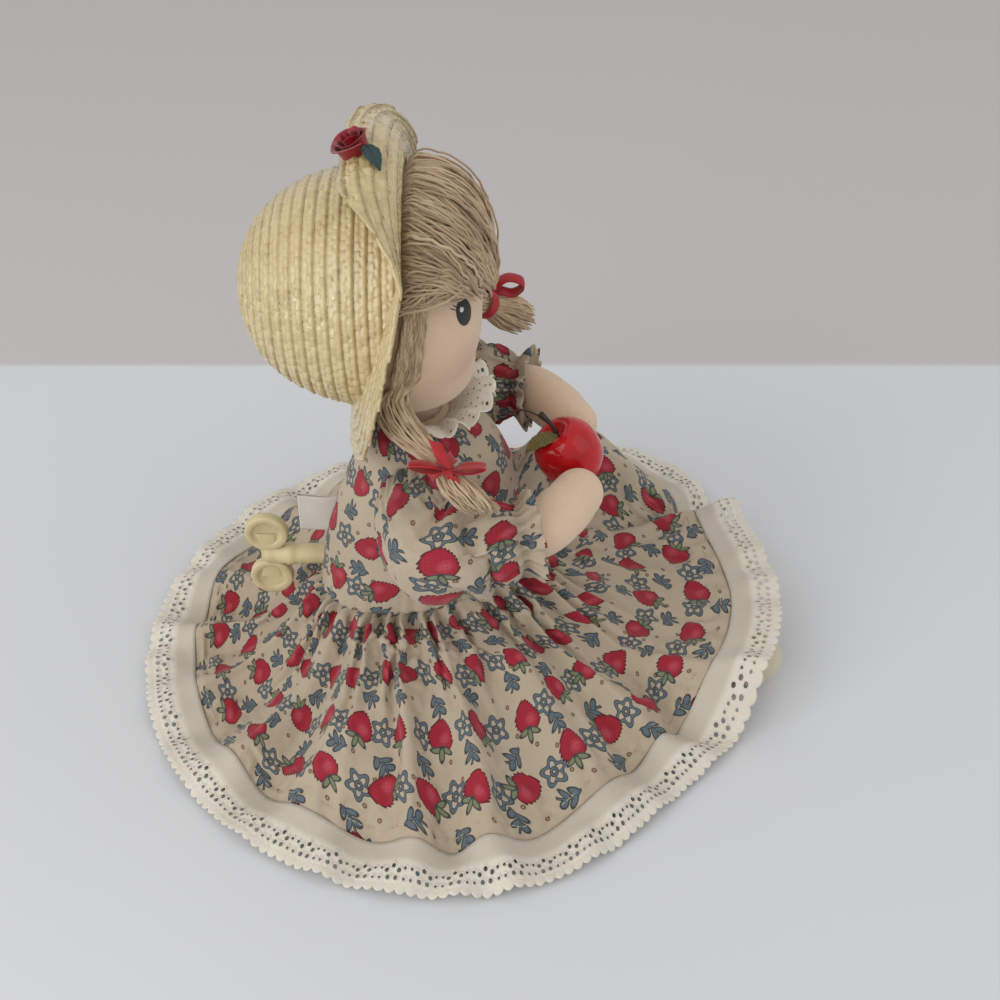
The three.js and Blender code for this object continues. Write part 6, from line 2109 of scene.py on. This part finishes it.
@dataclass
class Bonnet:
    """A sewn-braid straw bonnet, its brim rolled up over the face and cut back behind the nape."""

    crown_radius: float = 51.5
    crown_depth: float = 69.0
    roundness: float = 2.3
    nape_cut: float = 25.0
    cut_from: float = math.radians(60)
    seat: Triple = (0.0, 2.0, 213.0)
    roll_span: Pair = (5.0, 66.0)
    roll_turn: float = math.radians(190)
    front_width: float = 40.0
    side_width: float = 22.0
    nape_width: float = 25.0
    nape_width_span: Pair = (110.0, 160.0)
    side_lean: float = -8.0
    nape_lean: float = 5.0
    nape_lean_span: Pair = (135.0, 175.0)
    stand: float = 3.0
    braid: float = 5.4
    split: float = 4.2
    relief: float = 0.5
    ridge: float = 1.3
    straw: float = 1.2
    columns: int = 681
    step: float = 0.5
    brim_rows: int = 84

    def crown_at(self, depth: Array) -> Array:
        """Gives the crown's radius at a distance behind the brim's line."""
        share = np.clip(depth / self.crown_depth, 0, 1)
        return self.crown_radius * (1 - share ** self.roundness) ** (1 / self.roundness)

    def cut(self, phi: Array) -> Array:
        """Gives how far back the brim's seam lies, at angles from the top in radians."""
        highest = math.cos(self.cut_from)
        return self.nape_cut * np.maximum(0, highest - np.cos(phi)) / (1 + highest)

    def tucked(self, points: Array, room: float) -> Array:
        """Keeps points inside the crown.

        Args:
            points: X, Y and Z of each.
            room: distance to keep from the crown's outer side.

        Returns:
            The points, drawn in where they would come through.
        """
        x, y, z = points[..., 0], points[..., 1] - self.seat[1], points[..., 2] - self.seat[2]
        reach = np.hypot(x, z)
        inside = (self.crown_at(y) - room) / np.maximum(reach, 1e-6)
        covered = smooth(y - self.cut(np.arctan2(x, z)), -6, 0)
        scale = lerp(1.0, np.minimum(1, np.maximum(0.02, inside)), covered)
        return np.stack([x * scale, points[..., 1], z * scale + self.seat[2]], axis=-1)

    def brim(self, phi: Array) -> tuple[Array, Array, Array]:
        """Draws the brim's profile at each angle round the face.

        Args:
            phi: angles from the top, in radians.

        Returns:
            Radius, depth and length from the crown's line, in rows and columns.
        """
        turn = np.abs(np.degrees(phi))
        rolled = 1 - smooth(turn, *self.roll_span)
        lean = np.radians(lerp(self.side_lean, self.nape_lean, smooth(turn, *self.nape_lean_span)))
        width = lerp(self.side_width, self.front_width, rolled)
        width = lerp(width, self.nape_width, smooth(turn, *self.nape_width_span))
        stand = np.minimum(self.stand, width / 2)
        along = width[None] * np.linspace(0, 1, self.brim_rows)[:, None]
        curl = rolled * self.roll_turn * np.maximum(0, (along - stand) / (width - stand))
        heading = lean + curl
        part = np.diff(along, axis=0)
        middle = (heading[1:] + heading[:-1]) / 2
        zero = np.zeros((1, len(phi)))
        radius = self.crown_at(self.cut(phi)) + np.vstack([zero, np.cumsum(part * np.cos(middle), axis=0)])
        depth = self.cut(phi) + np.vstack([zero, np.cumsum(part * np.sin(middle), axis=0)])
        return radius, depth, along

    def outer_side(self) -> tuple[Array, Array, Array]:
        """Draws the whole bonnet's outer side.

        Returns:
            Points, length from the crown's middle, and angle, in rows and columns.
        """
        phi = np.linspace(-math.pi, math.pi, self.columns)
        fine_depth = self.crown_depth * np.linspace(1, 0, 3000) ** 1.6
        fine_radius = self.crown_at(fine_depth)
        fine_run = np.concatenate([[0], np.cumsum(np.hypot(np.diff(fine_radius), np.diff(fine_depth)))])
        seam_run = np.interp(-self.cut(phi), -fine_depth, fine_run)
        rows = int(fine_run[-1] / self.step)
        run = seam_run[None] * np.linspace(0, 1, rows)[:, None]
        radius, depth, along = self.brim(phi)
        radius = np.vstack([np.interp(run, fine_run, fine_radius), radius[1:]])
        depth = np.vstack([np.interp(run, fine_run, fine_depth), depth[1:]])
        run = np.vstack([run, seam_run + along[1:]])
        x = self.seat[0] - radius * np.sin(phi)
        z = self.seat[2] + radius * np.cos(phi)
        return np.stack([x, self.seat[1] + depth, z], axis=-1), run, phi[None] + 0 * run

    def build(self) -> None:
        """Builds and dresses the bonnet."""
        points, run, phi = self.outer_side()
        outward = unit(np.cross(np.gradient(points, axis=0), np.gradient(points, axis=1)))
        outward[0] = (0, 1, 0)
        outward *= np.sign((outward[80] * (points[80] - np.array(self.seat))).sum(axis=-1).mean())
        row = np.floor(run / self.braid)
        across = run / self.braid - row - 0.5
        radius = np.hypot(points[..., 0] - self.seat[0], points[..., 2] - self.seat[2])
        row_radius = np.array([radius[row == k].mean() for k in range(int(row.max()) + 1)])
        splits = np.maximum(6, np.round(TURN * row_radius / self.split))[row.astype(int)]
        second = across > 0
        phase = (phi + math.pi) / TURN * splits + 0.5 * second + 0.37 * row
        along = 2 * (phase - np.floor(phase)) - 1
        aside = 4 * np.abs(across) - 1
        pillow = np.clip(1.15 - np.abs(along) ** 1.6 - 0.75 * np.abs(aside) ** 1.6, 0, 1) ** 0.6
        tones = np.random.default_rng(SEED + 1).uniform(0, 1, 4096)
        number = (np.floor(phase) * 7 + row * 131 + second * 17).astype(int) % 4096
        tone = tones[number]
        edge = 1 - np.abs(2 * across) ** 6
        height = self.ridge * (edge * (0.62 + 0.5 * across) - 0.5)
        lean = tones[(number * 5 + 11) % 4096]
        tilt = (tone - 0.5) * along * 1.4 + (lean - 0.5) * aside * 1.1
        height += self.relief * edge * (0.5 * pillow - 0.25 + tilt)
        # The shade is a random tone for each split, darkened towards each split's corners and each braid
        # row's edges: painted shade in the hollows between splits and rows.
        shade = np.clip((0.36 + 0.5 * tone) * (0.68 + 0.32 * pillow) * (0.1 + 0.9 * edge) + 0.1, 0, 1)
        points = points + outward * height[..., None]
        uv = joined((phi + math.pi) * np.maximum(radius, 4), run)
        piece = surface("straw_bonnet", STRAW, points, uv, shade)
        thicken(piece, self.straw)
        place(piece, "head", "straw", "bonnet")

    def brim_point(self, phi: float, share: float) -> Array:
        """Finds a point of the brim.

        Args:
            phi: angle from the top, in radians.
            share: 0 at the crown's line and 1 at the edge.

        Returns:
            X, Y and Z.
        """
        radius, depth, _ = self.brim(np.array([phi]))
        k = int(round(share * (self.brim_rows - 1)))
        out, back = radius[k, 0], depth[k, 0]
        return np.array(self.seat) + np.array([-out * math.sin(phi), back, out * math.cos(phi)])


@dataclass
class Rose:
    """A wound ribbon rose with one leaf, pinned behind the rolled brim."""

    bonnet: Bonnet
    radius: float = 10.0
    height: float = 8.0
    lean: float = math.radians(25)
    winds: float = 3.6
    ribbon: float = 0.4
    pin: Pair = (math.radians(8), 0.68)
    leaf_size: Pair = (14.0, 6.8)
    leaf_way: Pair = (math.radians(14), math.radians(210))

    def build(self) -> None:
        """Builds and dresses the rose and its leaf."""
        seat = self.bonnet.brim_point(*self.pin)
        t = np.linspace(0, 1, 260)[:, None]
        edge = np.linspace(0, 1, 9)[None]
        angle = TURN * self.winds * t ** 0.8
        petal = 0.5 + 0.5 * np.cos(angle * 2.6)
        radius = (0.8 + self.radius * 0.86 * t) * (0.72 + 0.34 * edge ** 1.5 * (0.6 + 0.4 * petal))
        top = self.height * (1.05 - 0.5 * t) * (0.85 + 0.25 * petal)
        curl = np.maximum(0, edge - 0.75) * 5.0 * t
        z = -2.4 * (1 - t) + edge * (top + 2.4) - curl * 1.2
        radius = radius + curl * 0.9
        local = joined(radius * np.cos(angle), radius * np.sin(angle), z)
        rose = surface("ribbon_rose", ROSE_RIBBON, tipped(local, self.lean) + seat)
        thicken(rose, self.ribbon, 0)
        soften(rose)
        place(rose, "head", "rose_ribbon", "hat_rose")
        stalk = seat + np.array([-self.radius / 3, -self.radius / 3, self.height / 2])
        leaf = leaf_piece("rose_leaf_cloth", ROSE_LEAF_CLOTH, stalk, self.leaf_size, self.leaf_way)
        place(leaf, "head", "dark_leaf", "rose_leaf")


def tipped(points: Array, angle: float) -> Array:
    """Tips points back round the X axis by an angle in radians."""
    cosine, sine = math.cos(angle), math.sin(angle)
    return points @ np.array([[1, 0, 0], [0, cosine, -sine], [0, sine, cosine]])


def leaf_piece(name: str, finish: LeafCloth, stalk: Array, size: Pair, way: Pair) -> Piece:
    """Builds a pointed leaf with a folded mid vein.

    Args:
        name: the piece's name.
        finish: its finish.
        stalk: where the leaf starts.
        size: its length and width.
        way: how steeply its tip falls, and the tip's direction from +X, in radians.

    Returns:
        The piece.
    """
    (length, width), (slope, heading) = size, way
    t = np.linspace(0, 1, 40)[:, None]
    side = np.linspace(-1, 1, 21)[None]
    y = 0.5 * width * np.sin(math.pi * t ** 0.85) ** 0.8 * (1 + 0.05 * np.sin(t * 60)) * side
    z = 0.18 * np.abs(y) + 0.9 * np.sin(t * math.pi) - 1.4 * t ** 3
    z = z + 0.25 * np.sin(t * 26 - np.abs(side) * 3) * np.abs(side)
    x = length * t * math.cos(slope) + z * math.sin(slope)
    z = z * math.cos(slope) - length * t * math.sin(slope)
    right = x * math.cos(heading) - y * math.sin(heading)
    back = x * math.sin(heading) + y * math.cos(heading)
    piece = surface(name, finish, joined(right, back, z) + stalk, joined(y, length * t))
    thicken(piece, LEAF_CLOTH, 0)
    return piece


# Apple and key


@dataclass
class Apple:
    """The lacquered apple with its stem, twist of wire and leaf."""

    outline: tuple[Pair, ...] = (
        (0, 0.72), (0.16, 0.76), (0.42, 0.93), (0.72, 0.86), (0.96, 0.45), (1, 0), (0.9, -0.5), (0.6, -0.86),
        (0.3, -0.95), (0, -0.84),
    )
    stem_radius: float = 1.3
    stem_length: float = 15.0
    wire_reach: float = 17.0
    wire_radius: float = 0.5
    lobes: int = 5
    lobe_depth: float = 0.02
    dimple: float = 0.7
    leaf_size: Pair = (17.0, 9.0)
    leaf_way: Pair = (math.radians(8), math.radians(118))

    def build(self) -> None:
        """Builds and dresses the apple, stem and leaf."""
        profile = spline(self.outline, 60)
        angle = np.linspace(0, TURN, 97)
        ribs = 1 + self.lobe_depth * np.cos(self.lobes * angle)[None] * np.abs(profile[:, 1:2])
        radius = np.maximum(0, profile[:, :1]) * APPLE_RADIUS * ribs
        local = joined(radius * np.cos(angle), radius * np.sin(angle), profile[:, 1:2] * APPLE_RADIUS)
        apple = surface("apple_body", APPLE_LACQUER, tipped(local, APPLE_TILT) + APPLE_MIDDLE)
        place(apple, "arms", "apple_lacquer", "apple")
        up = tipped(np.array(UP), APPLE_TILT)
        foot = APPLE_MIDDLE + up * (self.dimple * APPLE_RADIUS)
        tip = foot + up * (self.stem_length + 0.4)
        self.stem(foot, tip, up)
        stalk = foot + np.array([-self.stem_radius, 0, 2.2])
        leaf = leaf_piece("apple_leaf_cloth", APPLE_LEAF_CLOTH, stalk, self.leaf_size, self.leaf_way)
        place(leaf, "arms", "olive_leaf", "apple_leaf")

    def stem(self, foot: Array, tip: Array, up: Array) -> None:
        """Builds the wrapped stem and its wire.

        Args:
            foot: where the stem leaves the apple.
            tip: its upper end.
            up: the apple's axis.
        """
        bend = (foot + tip) / 2 + np.array([0, -1.5, 0])
        path = spline([foot, bend, tip], 40)
        radii = self.stem_radius * spline([(1.0,), (0.8,), (1.3,)], 40, eased=True)[:, 0]
        draft = Draft()
        draft.tube(path, radii, 14, lobes=3, pitch=5.0, depth=0.16)
        over = [(0, self.wire_reach / 2, 2.5), (0, self.wire_reach, -1.0)]
        wire = spline([tip - up * 2, *(tip + np.array(step) for step in over)], 40)
        draft.tube(wire, np.full(40, self.wire_radius), 8, lobes=2, pitch=3.0, depth=0.3)
        piece = draft.build("apple_stem_wrap", STEM_FINISH)
        place(piece, "arms", "stem_wire", "apple_stem")


@dataclass
class Key:
    """The moulded butterfly key, with dished lobes on a ribbed barrel."""

    z: float = 61.0
    plate_y: float = 75.0
    barrel_radius: float = 5.0
    barrel_from: float = 18.35
    lobe_radius: float = 10.5
    lobe_offset: float = 14.0
    thickness: float = 5.0
    dish_radius: float = 7.0
    dish: float = 1.2
    edge: float = 0.9
    bar_half: float = 1.9
    bar_tall: Pair = (4.0, 1.4)
    barrel: tuple[Pair, ...] = (
        (60.0, 1.0), (62.0, 1.0), (63.0, 1.12), (66.0, 1.12), (67.0, 1.0),
        (74.0, 1.0), (76.5, 0.9), (78.0, 0.6), (78.6, 0.05),
    )

    def lobe(self, draft: Draft, centre_z: float) -> None:
        """Adds one round wing of the key.

        Args:
            draft: mesh to add it to.
            centre_z: height of its middle.
        """
        half, dish, rim, edge = self.thickness / 2, self.dish_radius, self.lobe_radius, self.edge
        floor = half - self.dish
        profile = [(0.0, floor), (dish - 0.8, floor), (dish, half - 0.5), (dish + 0.5, half)]
        profile += [(rim - edge, half), (rim - 0.25, half - 0.3), (rim, half - edge), (rim, 0.0)]
        full = np.array(profile + [(r, -x) for r, x in reversed(profile[:-1])])
        angle = np.linspace(0, TURN, 73)
        radius = full[:, :1]
        points = joined(full[:, 1:], self.plate_y + radius * np.cos(angle), centre_z + radius * np.sin(angle))
        draft.grid(points)

    def build(self) -> None:
        """Builds and dresses the key."""
        draft = Draft()
        for sign in (-1, 1):
            self.lobe(draft, self.z + sign * self.lobe_offset)
        stops, sizes = np.array([(self.barrel_from, 1.0), *self.barrel]).T
        draft.tube(joined(0.0, stops, self.z), sizes * self.barrel_radius, 48)
        bar_z = np.linspace(-self.lobe_offset, self.lobe_offset, 25)[:, None]
        angle = np.linspace(0, TURN, 33)
        tall = self.bar_tall[0] + self.bar_tall[1] * (bar_z / self.lobe_offset) ** 2
        wide, high = (np.sign(wave) * np.abs(wave) ** 0.5 for wave in (np.cos(angle), np.sin(angle)))
        points = joined(self.bar_half * wide[None], self.plate_y + tall * high[None], self.z + bar_z)
        draft.grid(points)
        piece = draft.build("butterfly_key", KEY_PLASTIC)
        place(piece, "key", "key_plastic", "winding_key")


# Movement and stage

MOVEMENT_FINISHES: dict[str, Finish] = {
    "case_plastic": MouldedPlastic("case_plastic", (196, 190, 176), (176, 168, 150)),
    "steel": Metal("movement_steel", (176, 178, 182), (120, 118, 116)),
    "brass": Metal("movement_brass", (196, 160, 88), (138, 104, 56)),
    "zinc": Metal("movement_zinc", (160, 162, 166), (120, 122, 124), 0.45),
    "nylon": MouldedPlastic("movement_nylon", (226, 222, 208), (206, 200, 182), 0.5),
}


@dataclass
class Movement:
    """The wind-up musical movement, sealed in its case inside the torso."""

    finishes: dict[str, Finish]

    def dress(self) -> None:
        """Gives each of the movement's solids its finish."""
        materials = {slot: finish.material() for slot, finish in self.finishes.items()}
        for entry in frame["record"]["subparts"]:
            material = materials.get(entry.get("material_slot"))
            node = frame["nodes"].get(entry["node"])
            if material is None or node is None:
                continue
            node.data.materials.clear()
            node.data.materials.append(material)
            LOG.info("dressed %s", entry["node"])


@dataclass
class Stage:
    """Table, soft studio light and camera."""

    camera_at: Triple = (-0.5094, -0.038, 0.5224)
    look_at: Triple = (0.0, -0.038, 0.095)
    lamps_at: Triple = (0.0, 0.0, 0.1)
    table: tuple[Triple, ...] = ((-4.0, -4.0, 0.0), (4.0, -4.0, 0.0), (4.0, 4.0, 0.0), (-4.0, 4.0, 0.0))
    lamps: tuple[tuple[str, Triple, float, float], ...] = (
        ("window", (-0.9, 0.9, 0.9), 1.2, 8.5), ("fill", (-0.5, -1.3, 1.1), 1.6, 3.825),
        ("low", (-1.0, 1.25, 0.2), 0.22, 2.125),
    )
    lens: float = 50.4
    sensor: float = 36.0
    room_light: float = 0.68

    def build(self) -> None:
        """Builds the table, the lights and the camera."""
        mesh = bpy.data.meshes.new("table")
        mesh.from_pydata(self.table, [], [(0, 1, 2, 3)])
        mesh.materials.append(TableTop().material())
        table = bpy.data.objects.new("table", mesh)
        bpy.context.scene.collection.objects.link(table)
        self.world()
        for name, at, size, power in self.lamps:
            lamp = bpy.data.lights.new(name, "AREA")
            lamp.size = size
            lamp.energy = power
            self.stand(name, lamp, at, self.lamps_at)
        camera = bpy.data.cameras.new("camera")
        camera.lens = self.lens
        camera.sensor_width = self.sensor
        bpy.context.scene.camera = self.stand("camera", camera, self.camera_at, self.look_at)

    def stand(self, name: str, data: bpy.types.ID, at: Triple, target: Triple) -> Piece:
        """Stands a lamp or a camera in the room.

        Args:
            name: its name.
            data: the lamp's or camera's settings.
            at: where it is, in metres.
            target: what it points at.

        Returns:
            The new object.
        """
        made = bpy.data.objects.new(name, data)
        made.location = at
        made.rotation_euler = (Vector(target) - Vector(at)).to_track_quat("-Z", "Y").to_euler()
        bpy.context.scene.collection.objects.link(made)
        return made

    def world(self) -> None:
        """Sets an even, pale room light."""
        world = bpy.data.worlds.new("room")
        bpy.context.scene.world = world
        world.use_nodes = True
        world.node_tree.nodes["Background"].inputs[0].default_value = (1.0, 0.99, 0.98, 1)
        world.node_tree.nodes["Background"].inputs[1].default_value = self.room_light
        bpy.context.scene.view_settings.view_transform = "Standard"


def main() -> None:
    """Builds the doll from the seat up, then the stage."""
    logging.basicConfig(level=logging.INFO, format="%(name)s %(message)s")
    drape = Drape()
    Stage().build()
    Torso().build()
    Leg(Side.RIGHT, drape, drape.right_ankle_x).build()
    Leg(Side.LEFT, drape, drape.left_ankle_x).build()
    Bodice().build()
    Skirt(drape).build()
    HemLace(drape).build()
    Collar().build()
    for side in Side:
        Arm(side).build()
        Sleeve(side).build()
    Apple().build()
    bonnet = Bonnet()
    bonnet.build()
    head = Head(bonnet)
    head.build()
    hair = Hair(head)
    hair.cap()
    hair.fringe()
    for side, tie_y, drop in ((Side.RIGHT, -14.0, 16.0), (Side.LEFT, -31.0, 13.0)):
        hair.bunch(side, tie_y, drop)
        Bow(side, tie_y).build()
    Rose(bonnet).build()
    Key().build()
    Movement(MOVEMENT_FINISHES).dress()


if __name__ == "__main__":
    main()
